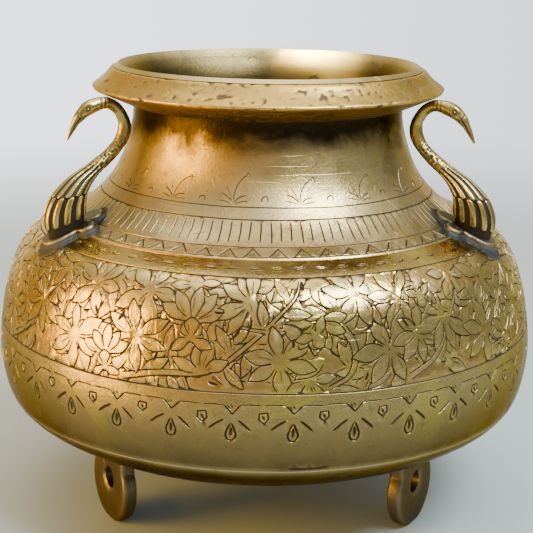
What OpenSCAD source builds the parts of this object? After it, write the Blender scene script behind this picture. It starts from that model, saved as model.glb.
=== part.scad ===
// Footed brass pot with a flared collar, three swan handles and three loop feet.
// Units are millimetres. +Z is up, the feet stand on z = 0 and the pot's axis is the Z axis.

/* [Pot] */
// Radius of the belly at its widest
belly_r = 99.3; // [97.5:0.1:100.5]
// Height of the top of the mouth above the surface the feet stand on
mouth_z = 164.8; // [164:0.1:166]
// Thickness of the raised brass sheet
wall = 2; // [1.6:0.1:2.4]

/* [Rim collar] */
// Radius of the collar's sharp outer edge
collar_r = 64.3; // [63.5:0.1:66]
// Height of the collar's outer edge
collar_edge_z = 158.2; // [157.8:0.1:158.6]
// Radius of the collar where it meets the flat lip
lip_r = 57.2; // [56.8:0.1:58]
// How far the collar's sloping face is dished
collar_dish = 0.5; // [0:0.1:0.8]

/* [Handles] */
// Direction of each swan handle round the pot, in degrees from +X
swan_angles = [209, 336.5, 93];
// Distance from the pot's axis to the middle of a handle's plate
plate_at_r = 77.2; // [76.8:0.1:77.6]
// Height of the middle of the plate's top face
plate_at_z = 112.6; // [112.4:0.1:112.8]
// Slope of the plate down the shoulder, in degrees
plate_slope = 24.2; // [23.5:0.1:25]
// Thickness of the plate
plate_t = 2.5; // [2:0.1:2.6]
// Diameter of the hole in each side lobe of the plate
lobe_hole_d = 1.8; // [1.2:0.1:2.4]

/* [Feet] */
// Direction of each foot round the pot, in degrees from +X
foot_angles = [210, 330, 90];
// Distance from the pot's axis to the middle of a foot
foot_at_r = 63; // [61:0.1:64]
// Radius of the foot's disc
foot_r = 14.5; // [14:0.1:15]
// Thickness of the foot
foot_t = 5.5; // [4.5:0.1:6.5]
// Diameter of the hole through the foot
foot_hole_d = 8; // [6:0.1:9]

/* [Hidden] */
LEFT = 0;
RIGHT = 1;
BACK = 2;

brass = [0.72, 0.53, 0.22];
yellow_brass = [0.78, 0.62, 0.30];
lead_solder = [0.45, 0.47, 0.47];
dark_braze = [0.42, 0.34, 0.20];

// The pot's outer line from the middle of the bottom up to just past the lip, as [radius, height].
// The first and last points only give the curve its direction at its ends.
pot_line = [[-30, 19.8], [0, 18.2], [30, 19.8], [55, 25], [73, 31.7], [87, 38.4], [belly_r - 3.4, 46.5],
            [belly_r, 61], [98.6, 75], [96, 88], [91.8, 99], [85.5, 106.2], [75.5, 110.6],
            [68.4, 114.4], [62.2, 119.6], [56.2, 127], [51.9, 137], [49.4, 149], [51.2, 158],
            [56.2, mouth_z], [60, 169], [64, 173]];
steps = 4;                   // curve points for each stretch between two given points
base_seam = 5 * steps;       // where the base pan laps the belly shell
shoulder_seam = 11 * steps;  // where the neck shell laps the belly shell
lap = steps;                 // curve points covered by each lap
lip_end = 18 * steps + 2;    // the end of the wall, cut flat at the mouth

// Where the swan's silhouette runs, as rings across its neck and body from the plate to the beak.
// Each ring is [radius, height] of its inner point, the same of its outer point, and its half breadth.
swan_rings = [[72.6, 114.7, 85.9, 108.7, 4.6], [71.9, 118.2, 87.3, 114.2, 5.6],
              [71.8, 121.6, 86.4, 119.4, 5.9], [71.1, 124.6, 83.6, 124, 5.6],
              [68.9, 128, 77.6, 129.6, 4.2], [66, 130.9, 71.3, 133.3, 3],
              [62.5, 134, 65.8, 136.7, 2.2], [58.5, 138, 62.1, 139.8, 2],
              [55.8, 142, 59.8, 143, 2], [55, 146.2, 58.9, 146.9, 1.95],
              [56.4, 150.4, 60, 149.9, 1.85], [59.3, 154.2, 61.7, 151.8, 1.75],
              [63.4, 156.2, 64, 152.8, 1.8], [67.8, 156, 67.5, 152, 2.1],
              [71.6, 154.6, 70.5, 150.7, 2.1], [74.1, 152.1, 72.4, 149.4, 1.5],
              [75.6, 149.2, 74.2, 148.1, 0.9], [77.1, 146, 76, 145.5, 0.6],
              [78.5, 142.5, 78.1, 142.3, 0.3]];
swan_sides = 16;
swan_steps = 2;

solder_skirt = 1.8;   // how far the solder spreads past the plate
solder_rise = 0.9;    // how far it climbs the plate's edge
solder_depth = 9;     // deep enough to reach the shoulder everywhere under the plate
foot_mid_z = sqrt(foot_r * foot_r - pow(3.6, 2));
hole_z = 16.2;
foot_shoulder = 12.5;  // half the width of the foot where it meets the pot
braze_t = 1.3;
braze_spread = 1.5;   // how far the braze spreads past the foot's faces
braze_half_w = 13.5;

// Point on a Catmull-Rom curve between b and c
function curve(a, b, c, d, t) =
    0.5 * (2 * b + (c - a) * t + (2 * a - 5 * b + 4 * c - d) * t * t + (3 * b - a - 3 * c + d) * t * t * t);

// Curve through every point of a list from its second up to its last but one
function smooth(points, n) =
    [for (i = [1 : len(points) - 3], j = [0 : n - 1])
        curve(points[i - 1], points[i], points[i + 1], points[i + 2], j / n)];

outer_line = smooth(pot_line, steps);

function along(i) = outer_line[min(i + 1, len(outer_line) - 1)] - outer_line[max(i - 1, 0)];
function inward(i) =
    let (t = i == 0 ? [1, 0] : along(i) / norm(along(i)))
    [-t[1], t[0]];
function in_wall(i, depth) = outer_line[i] + inward(i) * depth;
function line_at(from, to, depth) = [for (i = [from : to]) in_wall(i, depth)];
function back_at(from, to, depth) = [for (i = [from : -1 : to]) in_wall(i, depth)];

// Everything inside the pot's outer line, used to cut what is soldered on to it
module pot_solid_2d() {
    intersection() {
        polygon(concat(line_at(0, lip_end, 0), [[0, outer_line[lip_end][1]]]));
        square([200, mouth_z]);
    }
}

module pot_solid() {
    rotate_extrude($fn = 96) pot_solid_2d();
}

// Turned sheet between two places on the outer line. Its lower edge is the outer half of a lap
// unless it starts at the middle, and its upper edge is the inner half unless it ends at the lip.
module sheet(from, to) {
    lower_lap = from == 0 ? 0 : lap;
    upper_lap = to == lip_end ? 0 : lap;
    outer_side = line_at(from, to, 0);
    upper_half = upper_lap == 0 ? [] : line_at(to, to + upper_lap, wall / 2);
    inner_side = back_at(to + upper_lap, from + lower_lap, wall);
    lower_half = lower_lap == 0 ? [] : back_at(from + lower_lap, from, wall / 2);
    rotate_extrude($fn = 96)
        intersection() {
            polygon(concat(outer_side, upper_half, inner_side, lower_half));
            square([200, mouth_z]);
        }
}

module base_pan() {
    color(brass) sheet(0, base_seam);
}

module belly_shell() {
    color(brass) sheet(base_seam, shoulder_seam);
}

module neck_shell() {
    color(brass) sheet(shoulder_seam, lip_end);
}

// Heavy ring round the mouth: a dished sloping face, a thin edge and a sloping underside
module rim_collar() {
    face_steps = 8;
    face = [for (i = [0 : face_steps])
        let (t = i / face_steps, sag = collar_dish * 4 * t * (1 - t))
        [collar_r + (lip_r - collar_r) * t - 0.7 * sag,
         collar_edge_z + (mouth_z - 0.4 - collar_edge_z) * t - 0.7 * sag]];
    color(brass)
        rotate_extrude($fn = 96)
            difference() {
                polygon(concat([[46, 149.6], [collar_r - 0.7, collar_edge_z - 1.2],
                                [collar_r, collar_edge_z - 0.7]],
                               face, [[lip_r - 0.4, mouth_z], [46, mouth_z]]));
                pot_solid_2d();
            }
}

function ring_point(ring, side) =
    let (a = 360 * side / swan_sides, half = cos(a) / 2)
    [(ring[0] + ring[2]) / 2 + (ring[2] - ring[0]) * half,
     ring[4] * sin(a),
     (ring[1] + ring[3]) / 2 + (ring[3] - ring[1]) * half];

// Swan cast in one piece: body on the plate, neck curving in under the collar, head turned outwards
module swan(which) {
    first = 2 * swan_rings[0] - swan_rings[1];
    last = len(swan_rings) - 1;
    beyond = 2 * swan_rings[last] - swan_rings[last - 1];
    rings = concat(smooth(concat([first], swan_rings, [beyond]), swan_steps), [swan_rings[last]]);
    top = len(rings) - 1;
    n = swan_sides;
    points = [for (ring = rings, j = [0 : n - 1]) ring_point(ring, j)];
    walls = [for (i = [0 : top - 1], j = [0 : n - 1])
        [i * n + j, (i + 1) * n + j, (i + 1) * n + (j + 1) % n, i * n + (j + 1) % n]];
    base_cap = [for (j = [0 : n - 1]) j];
    tip_cap = [for (j = [n - 1 : -1 : 0]) top * n + j];
    color(yellow_brass)
        rotate([0, 0, swan_angles[which]])
            polyhedron(points, concat(walls, [base_cap, tip_cap]), convexity = 6);
}

module swan_left() { swan(LEFT); }
module swan_right() { swan(RIGHT); }
module swan_back() { swan(BACK); }

// The plate's plane: local X runs down the slope, local Z is the face's normal
module on_plate(which) {
    rotate([0, 0, swan_angles[which]])
        translate([plate_at_r, 0, plate_at_z])
            rotate([0, plate_slope, 0])
                children();
}

// Outline of the plate: a long outer lobe, a narrower inner lobe and two small side lobes.
// grow widens it all round for the solder.
module plate_outline(grow) {
    outer_lobe_r = 6.2;
    inner_lobe_r = 4.1;
    side_lobe_r = 3.3;
    translate([6, 0]) circle(r = outer_lobe_r + grow, $fn = 64);
    translate([0, -outer_lobe_r - grow]) square([6, 2 * (outer_lobe_r + grow)]);
    circle(r = outer_lobe_r + grow, $fn = 64);
    translate([-8.1, 0]) circle(r = inner_lobe_r + grow, $fn = 48);
    for (side = [-1, 1])
        translate([-2.6, 6.6 * side]) circle(r = side_lobe_r + grow, $fn = 48);
}

module plate(which) {
    color(yellow_brass)
        on_plate(which)
            translate([0, 0, -plate_t])
                difference() {
                    linear_extrude(plate_t) plate_outline(0);
                    for (side = [-1, 1])
                        translate([-2.8, 7.2 * side, -1])
                            cylinder(d = lobe_hole_d, h = plate_t + 2, $fn = 32);
                }
}

module plate_left() { plate(LEFT); }
module plate_right() { plate(RIGHT); }
module plate_back() { plate(BACK); }

// Solder that beds a plate on the round shoulder and shows as a grey skirt round it
module solder(which) {
    color(lead_solder)
        difference() {
            on_plate(which)
                translate([0, 0, -plate_t])
                    difference() {
                        translate([0, 0, -solder_depth])
                            linear_extrude(solder_depth + solder_rise) plate_outline(solder_skirt);
                        linear_extrude(plate_t) plate_outline(0);
                    }
            pot_solid();
        }
}

module solder_left() { solder(LEFT); }
module solder_right() { solder(RIGHT); }
module solder_back() { solder(BACK); }

// Puts its children where a foot stands: local X points outwards
module at_foot(which) {
    rotate([0, 0, foot_angles[which]])
        translate([foot_at_r, 0, 0])
            children();
}

// Round below, with straight sides where it meets the pot
module foot_blank() {
    translate([-foot_t / 2, 0, foot_mid_z])
        rotate([0, 90, 0])
            cylinder(r = foot_r, h = foot_t, $fn = 96);
    translate([-foot_t / 2, -foot_shoulder, foot_mid_z])
        cube([foot_t, 2 * foot_shoulder, 17]);
}

// Thick cast loop, flat where it stands and cut to the pot's bottom where it is brazed on
module foot(which) {
    color(yellow_brass)
        difference() {
            at_foot(which)
                difference() {
                    foot_blank();
                    translate([-foot_t, 0, hole_z])
                        rotate([0, 90, 0])
                            cylinder(d = foot_hole_d, h = 2 * foot_t, $fn = 64);
                    translate([-foot_t, -foot_r, -foot_r])
                        cube([2 * foot_t, 2 * foot_r, foot_r]);
                }
            pot_solid();
        }
}

module foot_left() { foot(LEFT); }
module foot_right() { foot(RIGHT); }
module foot_back() { foot(BACK); }

// Thin skirt of braze between a foot and the pot's bottom
module braze(which) {
    color(dark_braze)
        difference() {
            intersection() {
                translate([0, 0, -braze_t]) pot_solid();
                at_foot(which)
                    translate([-foot_t / 2 - braze_spread, -braze_half_w, 12])
                        cube([foot_t + 2 * braze_spread, 2 * braze_half_w, 30]);
            }
            pot_solid();
            at_foot(which) foot_blank();
        }
}

module braze_left() { braze(LEFT); }
module braze_right() { braze(RIGHT); }
module braze_back() { braze(BACK); }

base_pan();
belly_shell();
neck_shell();
rim_collar();
swan_left();
swan_right();
swan_back();
plate_left();
plate_right();
plate_back();
solder_left();
solder_right();
solder_back();
foot_left();
foot_right();
foot_back();
braze_left();
braze_right();
braze_back();
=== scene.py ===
# %% [markdown]
# # An engraved brass pot with swan handles
# The real object is a round-bellied pot raised from brass sheet, with a heavy collar round its
# mouth, three cast swan handles soldered to its shoulder and three cast loop feet. The CAD frame
# holds its sizes. This file gives each piece its real surface: cut lines, feathers, pits, worn
# edges and tarnish. Everything is in metres, and lengths along a surface are given in millimetres.

# %% Load the frame and the tools
import math
import random
import bmesh
import bpy
import numpy as np
from mathutils import Matrix, Vector, kdtree, noise
from mathutils.geometry import delaunay_2d_cdt


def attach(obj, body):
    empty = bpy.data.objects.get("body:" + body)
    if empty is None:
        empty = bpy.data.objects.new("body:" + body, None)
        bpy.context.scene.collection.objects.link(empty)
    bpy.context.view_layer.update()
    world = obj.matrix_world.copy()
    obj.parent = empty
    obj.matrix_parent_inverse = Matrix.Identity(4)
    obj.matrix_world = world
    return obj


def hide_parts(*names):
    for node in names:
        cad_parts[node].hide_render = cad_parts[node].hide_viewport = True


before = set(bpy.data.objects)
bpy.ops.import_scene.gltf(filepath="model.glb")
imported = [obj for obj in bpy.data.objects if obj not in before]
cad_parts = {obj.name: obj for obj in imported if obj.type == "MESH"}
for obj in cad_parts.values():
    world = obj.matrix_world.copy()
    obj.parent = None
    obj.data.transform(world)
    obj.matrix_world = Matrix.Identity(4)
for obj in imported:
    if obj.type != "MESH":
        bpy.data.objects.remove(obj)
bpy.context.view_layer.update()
MM = 0.001
print("frame pieces:", sorted(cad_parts))

# %% [markdown]
# ## The camera
# The camera stands half a metre from the pot's axis and looks slightly down, as a person does who
# bends to a table. It is rolled by under a degree. A long lens keeps the pot from looking bulged.

# %% Place the camera
CAMERA_DISTANCE = 0.5
CAMERA_TILT = math.radians(14.62)
CAMERA_ROLL = math.radians(0.89)
AIM_HEIGHT = 0.089
camera_data = bpy.data.cameras.new("camera")
camera_data.sensor_width = 36
camera_data.lens = 88.9
camera_data.shift_x = 0.002
camera = bpy.data.objects.new("camera", camera_data)
bpy.context.collection.objects.link(camera)
view_right = Vector((1, 0, 0))
view_up = Vector((0, math.sin(CAMERA_TILT), math.cos(CAMERA_TILT)))
view_back = Vector((0, -math.cos(CAMERA_TILT), math.sin(CAMERA_TILT)))
rolled_right = view_right * math.cos(CAMERA_ROLL) + view_up * math.sin(CAMERA_ROLL)
rolled_up = view_up * math.cos(CAMERA_ROLL) - view_right * math.sin(CAMERA_ROLL)
turn = Matrix((rolled_right, rolled_up, view_back)).transposed()
camera_place = Vector((0, 0, AIM_HEIGHT)) + view_back * CAMERA_DISTANCE
camera.matrix_world = Matrix.Translation(camera_place) @ turn.to_4x4()
bpy.context.scene.camera = camera
print("camera at", tuple(round(c, 3) for c in camera.matrix_world.translation))

# %% [markdown]
# ## The pot's outline
# A raised pot is a surface of revolution, so one line describes it: the radius and the height of
# its outer face from the middle of the bottom to the lip. A Catmull-Rom curve runs through a few
# points, the same ones as in the CAD source. Engraving is laid out along this line, so its length
# is measured too.

# %% Build the outline and measure along it
POT_LINE = [(-30, 19.8), (0, 18.2), (30, 19.8), (55, 25), (73, 31.7), (87, 38.4), (95.9, 46.5),
            (99.3, 61), (98.6, 75), (96, 88), (91.8, 99), (85.5, 106.2), (75.5, 110.6),
            (68.4, 114.4), (62.2, 119.6), (56.2, 127), (51.9, 137), (49.4, 149), (51.2, 158),
            (56.2, 164.8), (60, 169)]
CURVE_STEPS = 24
SHEET = 2.0


def curve_point(a, b, c, d, t):
    """Catmull-Rom point between b and c."""
    return 0.5 * (2 * b + (c - a) * t + (2 * a - 5 * b + 4 * c - d) * t ** 2
                  + (3 * b - a - 3 * c + d) * t ** 3)


def smooth_line(points, steps):
    """Curve through every point but the first and the last."""
    p = [np.array(point, float) for point in points]
    line = [curve_point(p[i - 1], p[i], p[i + 1], p[i + 2], j / steps)
            for i in range(1, len(p) - 2) for j in range(steps)]
    return np.array(line + [p[-2]])


outline = smooth_line(POT_LINE, CURVE_STEPS)
pieces_of_line = np.hypot(*np.diff(outline, axis=0).T)
run = np.concatenate([[0], np.cumsum(pieces_of_line)])


def run_at(height):
    """Length along the outline from the middle of the bottom up to a height."""
    return float(np.interp(height, outline[:, 1], run))


def radius_at(length):
    return np.interp(length, run, outline[:, 0])


LOW_SEAM = run_at(46.5)
PETAL_LINE = run_at(70.0)
LEAF_FOOT = run_at(73.7)
LEAF_TOP = run_at(107.2)
LEDGE = run_at(110.6)
TOOTH_LINE = run_at(113.2)
TICK_TOP = run_at(120.6)
SPRIG_LINE = run_at(124.1)
LIP = run_at(164.8)
print("leaf band %.1f mm tall, whole outline %.1f mm" % (LEAF_TOP - LEAF_FOOT, LIP))

# %% [markdown]
# ## Node trees that this pot needs
# Two things here follow a rule. The same mark is struck again and again round a band, and flat
# layouts are bent round the pot. Each rule is a Geometry Nodes tree, built once and given its own
# values every time it is used.

# %% Helpers for building and running a tree
def new_tree(name, sockets):
    """Empty tree with a geometry input and output and the named inputs."""
    tree = bpy.data.node_groups.new(name, "GeometryNodeTree")
    tree.interface.new_socket("Geometry", in_out="INPUT", socket_type="NodeSocketGeometry")
    for label, kind in sockets:
        tree.interface.new_socket(label, in_out="INPUT", socket_type="NodeSocket" + kind)
    tree.interface.new_socket("Geometry", in_out="OUTPUT", socket_type="NodeSocketGeometry")
    start = tree.nodes.new("NodeGroupInput")
    end = tree.nodes.new("NodeGroupOutput")
    return tree, start, end


def add_node(tree, kind, links=(), **settings):
    """Adds a node, sets its properties, and links or sets its inputs: (input, value or socket)."""
    node = tree.nodes.new(kind)
    for label, value in settings.items():
        setattr(node, label, value)
    for place, value in links:
        if isinstance(value, bpy.types.NodeSocket):
            tree.links.new(value, node.inputs[place])
        else:
            node.inputs[place].default_value = value
    return node


def run_tree(piece, tree, values):
    """Runs a tree on a piece and returns its result as a plain mesh. The piece is removed."""
    modifier = piece.modifiers.new(tree.name, "NODES")
    modifier.node_group = tree
    for socket in tree.interface.items_tree:
        if socket.in_out == "INPUT" and socket.name in values:
            modifier[socket.identifier] = values[socket.name]
    bpy.context.view_layer.update()
    evaluated = piece.evaluated_get(bpy.context.evaluated_depsgraph_get())
    mesh = bpy.data.meshes.new_from_object(evaluated)
    piece.modifiers.remove(modifier)
    old = piece.data
    bpy.data.objects.remove(piece)
    bpy.data.meshes.remove(old)
    return mesh


def mesh_object(name, points, faces, edges=()):
    mesh = bpy.data.meshes.new(name)
    mesh.from_pydata([tuple(p) for p in points], list(edges), faces)
    piece = bpy.data.objects.new(name, mesh)
    bpy.context.collection.objects.link(piece)
    return piece


# %% [markdown]
# ### Round the band
# The engraver strikes one mark, moves along by a thumb's breadth and strikes it again, never quite
# the same. The tree lays copies of a mark along a straight line and leans and stretches each copy
# a little. The marks are loose edges, so they carry no thickness yet.

# %% Build the tree that repeats a mark
def build_band_tree():
    tree, start, end = new_tree("round_the_band", [
        ("Count", "Int"), ("Pitch", "Float"), ("Start", "Float"), ("Level", "Float"),
        ("Lean", "Float"), ("Stretch", "Float"), ("Seed", "Int"), ("Material", "Material")])
    first = add_node(tree, "ShaderNodeCombineXYZ",
                     [("X", start.outputs["Start"]), ("Y", start.outputs["Level"])])
    offset = add_node(tree, "ShaderNodeCombineXYZ", [("X", start.outputs["Pitch"])])
    row = add_node(tree, "GeometryNodeMeshLine", [
        ("Count", start.outputs["Count"]), ("Start Location", first.outputs[0]),
        ("Offset", offset.outputs[0])])
    low_lean = add_node(tree, "ShaderNodeMath", [(0, start.outputs["Lean"]), (1, -1.0)],
                        operation="MULTIPLY")
    lean = add_node(tree, "FunctionNodeRandomValue", [
        (2, low_lean.outputs[0]), (3, start.outputs["Lean"]), ("Seed", start.outputs["Seed"])],
        data_type="FLOAT")
    turn_copy = add_node(tree, "ShaderNodeCombineXYZ", [("Z", lean.outputs[1])])
    shortest = add_node(tree, "ShaderNodeMath", [(0, 1.0), (1, start.outputs["Stretch"])],
                        operation="SUBTRACT")
    longest = add_node(tree, "ShaderNodeMath", [(0, 1.0), (1, start.outputs["Stretch"])], operation="ADD")
    stretch = add_node(tree, "FunctionNodeRandomValue", [
        (2, shortest.outputs[0]), (3, longest.outputs[0]), ("Seed", start.outputs["Seed"])],
        data_type="FLOAT")
    scale = add_node(tree, "ShaderNodeCombineXYZ", [("X", 1.0), ("Y", stretch.outputs[1]), ("Z", 1.0)])
    copies = add_node(tree, "GeometryNodeInstanceOnPoints", [
        ("Points", row.outputs["Mesh"]), ("Instance", start.outputs["Geometry"]),
        ("Rotation", turn_copy.outputs[0]), ("Scale", scale.outputs[0])])
    real = add_node(tree, "GeometryNodeRealizeInstances", [("Geometry", copies.outputs["Instances"])])
    coloured = add_node(tree, "GeometryNodeSetMaterial", [
        ("Geometry", real.outputs[0]), ("Material", start.outputs["Material"])])
    tree.links.new(coloured.outputs[0], end.inputs[0])
    return tree


band_tree = build_band_tree()
print("tree", band_tree.name, "has", len(band_tree.nodes), "nodes")

# %% [markdown]
# ### Wrap round the pot
# Flat layouts are drawn with X round the pot, Y along its outline and Z out of the metal. The tree
# reads the outline's point and direction at length Y, steps outwards by Z, and turns the point
# about the pot's axis by X divided by a reference radius.

# %% Build the tree that bends a flat layout round the pot
def build_wrap_tree():
    tree, start, end = new_tree("wrap_round_the_pot", [
        ("Outline", "Object"), ("Reference radius", "Float"), ("First angle", "Float"),
        ("Material", "Material")])
    place = add_node(tree, "GeometryNodeInputPosition")
    flat = add_node(tree, "ShaderNodeSeparateXYZ", [(0, place.outputs[0])])
    guide = add_node(tree, "GeometryNodeObjectInfo", [("Object", start.outputs["Outline"])])
    sample = add_node(tree, "GeometryNodeSampleCurve", [
        ("Curves", guide.outputs["Geometry"]), ("Length", flat.outputs["Y"])], mode="LENGTH")
    across = add_node(tree, "ShaderNodeVectorMath", [(0, (0, 1, 0)), (1, sample.outputs["Tangent"])],
                      operation="CROSS_PRODUCT")
    outwards = add_node(tree, "ShaderNodeVectorMath", [(0, across.outputs[0])], operation="NORMALIZE")
    step = add_node(tree, "ShaderNodeVectorMath", [(0, outwards.outputs[0]), ("Scale", flat.outputs["Z"])],
                    operation="SCALE")
    section = add_node(tree, "ShaderNodeVectorMath",
                       [(0, sample.outputs["Position"]), (1, step.outputs[0])], operation="ADD")
    share = add_node(tree, "ShaderNodeMath",
                     [(0, flat.outputs["X"]), (1, start.outputs["Reference radius"])], operation="DIVIDE")
    angle = add_node(tree, "ShaderNodeMath", [(0, share.outputs[0]), (1, start.outputs["First angle"])],
                     operation="ADD")
    turned = add_node(tree, "ShaderNodeVectorRotate", [
        ("Vector", section.outputs[0]), ("Axis", (0, 0, 1)), ("Angle", angle.outputs[0])],
        rotation_type="AXIS_ANGLE")
    bent = add_node(tree, "GeometryNodeSetPosition", [
        ("Geometry", start.outputs["Geometry"]), ("Position", turned.outputs[0])])
    real = add_node(tree, "GeometryNodeRealizeInstances", [("Geometry", bent.outputs[0])])
    coloured = add_node(tree, "GeometryNodeSetMaterial", [
        ("Geometry", real.outputs[0]), ("Material", start.outputs["Material"])])
    tree.links.new(coloured.outputs[0], end.inputs[0])
    return tree


def build_outline_guide():
    """The outline as a curve in the XZ plane, for the tree to read."""
    curve = bpy.data.curves.new("outline_guide", "CURVE")
    curve.dimensions = "3D"
    spline = curve.splines.new("POLY")
    spline.points.add(len(outline) - 1)
    for point, (radius, height) in zip(spline.points, outline):
        point.co = (radius * MM, 0, height * MM, 1)
    guide = bpy.data.objects.new("outline_guide", curve)
    bpy.context.collection.objects.link(guide)
    return guide


wrap_tree = build_wrap_tree()
outline_guide = build_outline_guide()
print("tree", wrap_tree.name, "has", len(wrap_tree.nodes), "nodes")

# %% [markdown]
# ## A drawing of cuts
# Engraved brass is a drawing first: lines of a certain width and depth on a sheet. A page holds
# that drawing flat. A leaf drawn later covers the lines of a leaf drawn before it, as the engraver
# leaves out what is hidden. A page that goes round the pot is drawn past both of its ends, so
# the two ends meet.

# %% Helpers for lines
STROKE_STEPS = 8


def resample(points, step):
    """The same line with points a fixed length apart."""
    points = np.asarray(points, float)
    gaps = np.hypot(*np.diff(points, axis=0).T)
    run_of_line = np.concatenate([[0], np.cumsum(gaps)])
    count = max(3, int(round(run_of_line[-1] / step)) + 1)
    at = np.linspace(0, run_of_line[-1], count)
    return np.column_stack([np.interp(at, run_of_line, points[:, 0]),
                            np.interp(at, run_of_line, points[:, 1])])


def through(points):
    """A smooth line through a few points."""
    p = [np.array(point, float) for point in points]
    p = [2 * p[0] - p[1]] + p + [2 * p[-1] - p[-2]]
    return smooth_line(p, STROKE_STEPS)


def thinned(points, tolerance, longest):
    """Indices to keep so that the line strays less than the tolerance."""
    keep = {0, len(points) - 1, min(3, len(points) - 1), max(0, len(points) - 4)}
    spans = [(a, b) for a, b in zip(sorted(keep)[:-1], sorted(keep)[1:])]
    while spans:
        a, b = spans.pop()
        if b - a < 2:
            continue
        chord = points[b] - points[a]
        length = math.hypot(*chord) or 1e-9
        away = points[a + 1:b] - points[a]
        stray = np.abs(away[:, 0] * chord[1] - away[:, 1] * chord[0]) / length
        worst = int(np.argmax(stray)) + a + 1
        if stray[worst - a - 1] < tolerance:
            if length < longest:
                continue
            worst = (a + b) // 2
        keep.add(worst)
        spans += [(a, worst), (worst, b)]
    return sorted(keep)


def inside_polygon(points, polygon):
    """Even-odd test of many points at once."""
    x, y = points[:, :1], points[:, 1:2]
    px, py = polygon[:, 0], polygon[:, 1]
    qx, qy = np.roll(px, -1), np.roll(py, -1)
    rise = np.where(qy == py, 1e-12, qy - py)
    meets = (py > y) != (qy > y)
    left_of = x < (qx - px) * (y - py) / rise + px
    return np.sum(meets & left_of, axis=1) % 2 == 1


def side_lines(line, halves):
    """Both edges of a cut, each ending where the centre line ends."""
    along = np.gradient(line, axis=0)
    along /= np.maximum(np.hypot(*along.T), 1e-9)[:, None]
    across = np.column_stack([-along[:, 1], along[:, 0]])
    offset = across * halves[:, None]
    return line + offset, line - offset


def cropped(line, low, high):
    """The parts of a line whose x lies between two borders, with points exactly on the borders."""
    parts, part = [], []
    for a, b in zip(line[:-1], line[1:]):
        stops = sorted((border - a[0]) / (b[0] - a[0]) for border in (low, high)
                       if (a[0] - border) * (b[0] - border) < 0)
        path = [a] + [a + (b - a) * t for t in stops] + [b]
        for p, q in zip(path[:-1], path[1:]):
            middle = (p[0] + q[0]) / 2
            if low <= middle <= high:
                part = part or [p]
                part.append(q)
            elif part:
                parts.append(part)
                part = []
    if part:
        parts.append(part)
    return parts


print("a hooked stroke has", len(through([(0, 0), (2, 1), (3, 4)])), "points")

# %% The page itself
SAMPLE = 0.35
SHORTEST_CUT = 4


class Page:
    """A flat drawing of cuts, as wide as the pot is round at its reference radius."""

    def __init__(self, reference_radius):
        self.radius = reference_radius
        self.width = 2 * math.pi * reference_radius
        self.cuts = []
        self.boxes = []
        self.shapes = []

    def cut(self, points, half=0.27, depth=0.3, taper=1.2):
        """Adds a cut. It narrows towards both ends over the taper length."""
        line = resample(points, SAMPLE)
        from_end = np.minimum(np.arange(len(line)), np.arange(len(line))[::-1]) * SAMPLE
        narrowing = np.clip(from_end / taper, 0, 1) ** 0.6 if taper else np.ones(len(line))
        self.cuts.append((line, np.full(len(line), half) * narrowing, depth, np.ones(len(line), bool),
                          taper > 0))
        self.boxes.append((*line.min(axis=0), *line.max(axis=0)))

    def cover(self, polygon, raised=True):
        """Hides what was drawn before inside a polygon, and marks the polygon as a raised shape."""
        left, low = polygon.min(axis=0)
        right, high = polygon.max(axis=0)
        for (line, _, _, seen, _), (x0, y0, x1, y1) in zip(self.cuts, self.boxes):
            if x1 > left and x0 < right and y1 > low and y0 < high:
                which = np.flatnonzero(seen & (line[:, 0] > left) & (line[:, 0] < right))
                seen[which[inside_polygon(line[which], polygon)]] = False
        if raised:
            self.shapes.append(polygon)

    def visible(self):
        """What is left of each cut: line, half widths and depth."""
        left = []
        for line, halves, depth, seen, tapered in self.cuts:
            edges = np.flatnonzero(np.diff(np.concatenate([[0], seen.astype(int), [0]])))
            for first, last in zip(edges[::2], edges[1::2]):
                if last - first < SHORTEST_CUT:
                    continue
                widths = halves[first:last].copy()
                if tapered:
                    widths[0] = widths[-1] = 0
                left.append((line[first:last], widths, depth))
        return left


# %% [markdown]
# ### From a page to triangles
# A cut is a V: deepest along its middle line and level with the sheet at its two edges. Displacing
# an even grid would blur such thin lines, so the middle and both edges of every cut are made mesh
# edges. A constrained triangulation fills in between them, with looser points where it is plain.

# %% Turn a page into a mesh
REACH = 0.9
STEP_ALONG = 0.26
FULL_DEPTH_HALF = 0.16
STRAY = 0.035
BESIDE = 0.3
SEAM_ROWS = 2.4


def depth_field(pieces, low, high):
    """Returns a function that gives the depth of cut and the distance to the nearest cut."""
    rows = []
    for line, halves, depth in pieces:
        kept = (line[:, 0] > low - 2) & (line[:, 0] < high + 2)
        along = np.gradient(line, axis=0)
        along /= np.maximum(np.hypot(*along.T), 1e-9)[:, None]
        rows.append(np.column_stack([line, along, halves, np.full(len(line), depth)])[kept])
    rows = np.concatenate(rows)
    tree = kdtree.KDTree(len(rows))
    for index, row in enumerate(rows):
        tree.insert((row[0], row[1], 0), index)
    tree.balance()
    cuts = rows.tolist()

    def look(x, y):
        deepest, nearest = 0.0, REACH
        for _, index, distance in tree.find_range((x, y, 0), REACH):
            cx, cy, tx, ty, half, depth = cuts[index]
            dx, dy = x - cx, y - cy
            nearest = min(nearest, distance)
            if abs(dx * tx + dy * ty) <= STEP_ALONG and half > 0.02:
                across = abs(dx * ty - dy * tx)
                wanted = depth * min(1, half / FULL_DEPTH_HALF)
                deepest = max(deepest, wanted * (1 - across / half))
        return deepest, nearest

    return look


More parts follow.
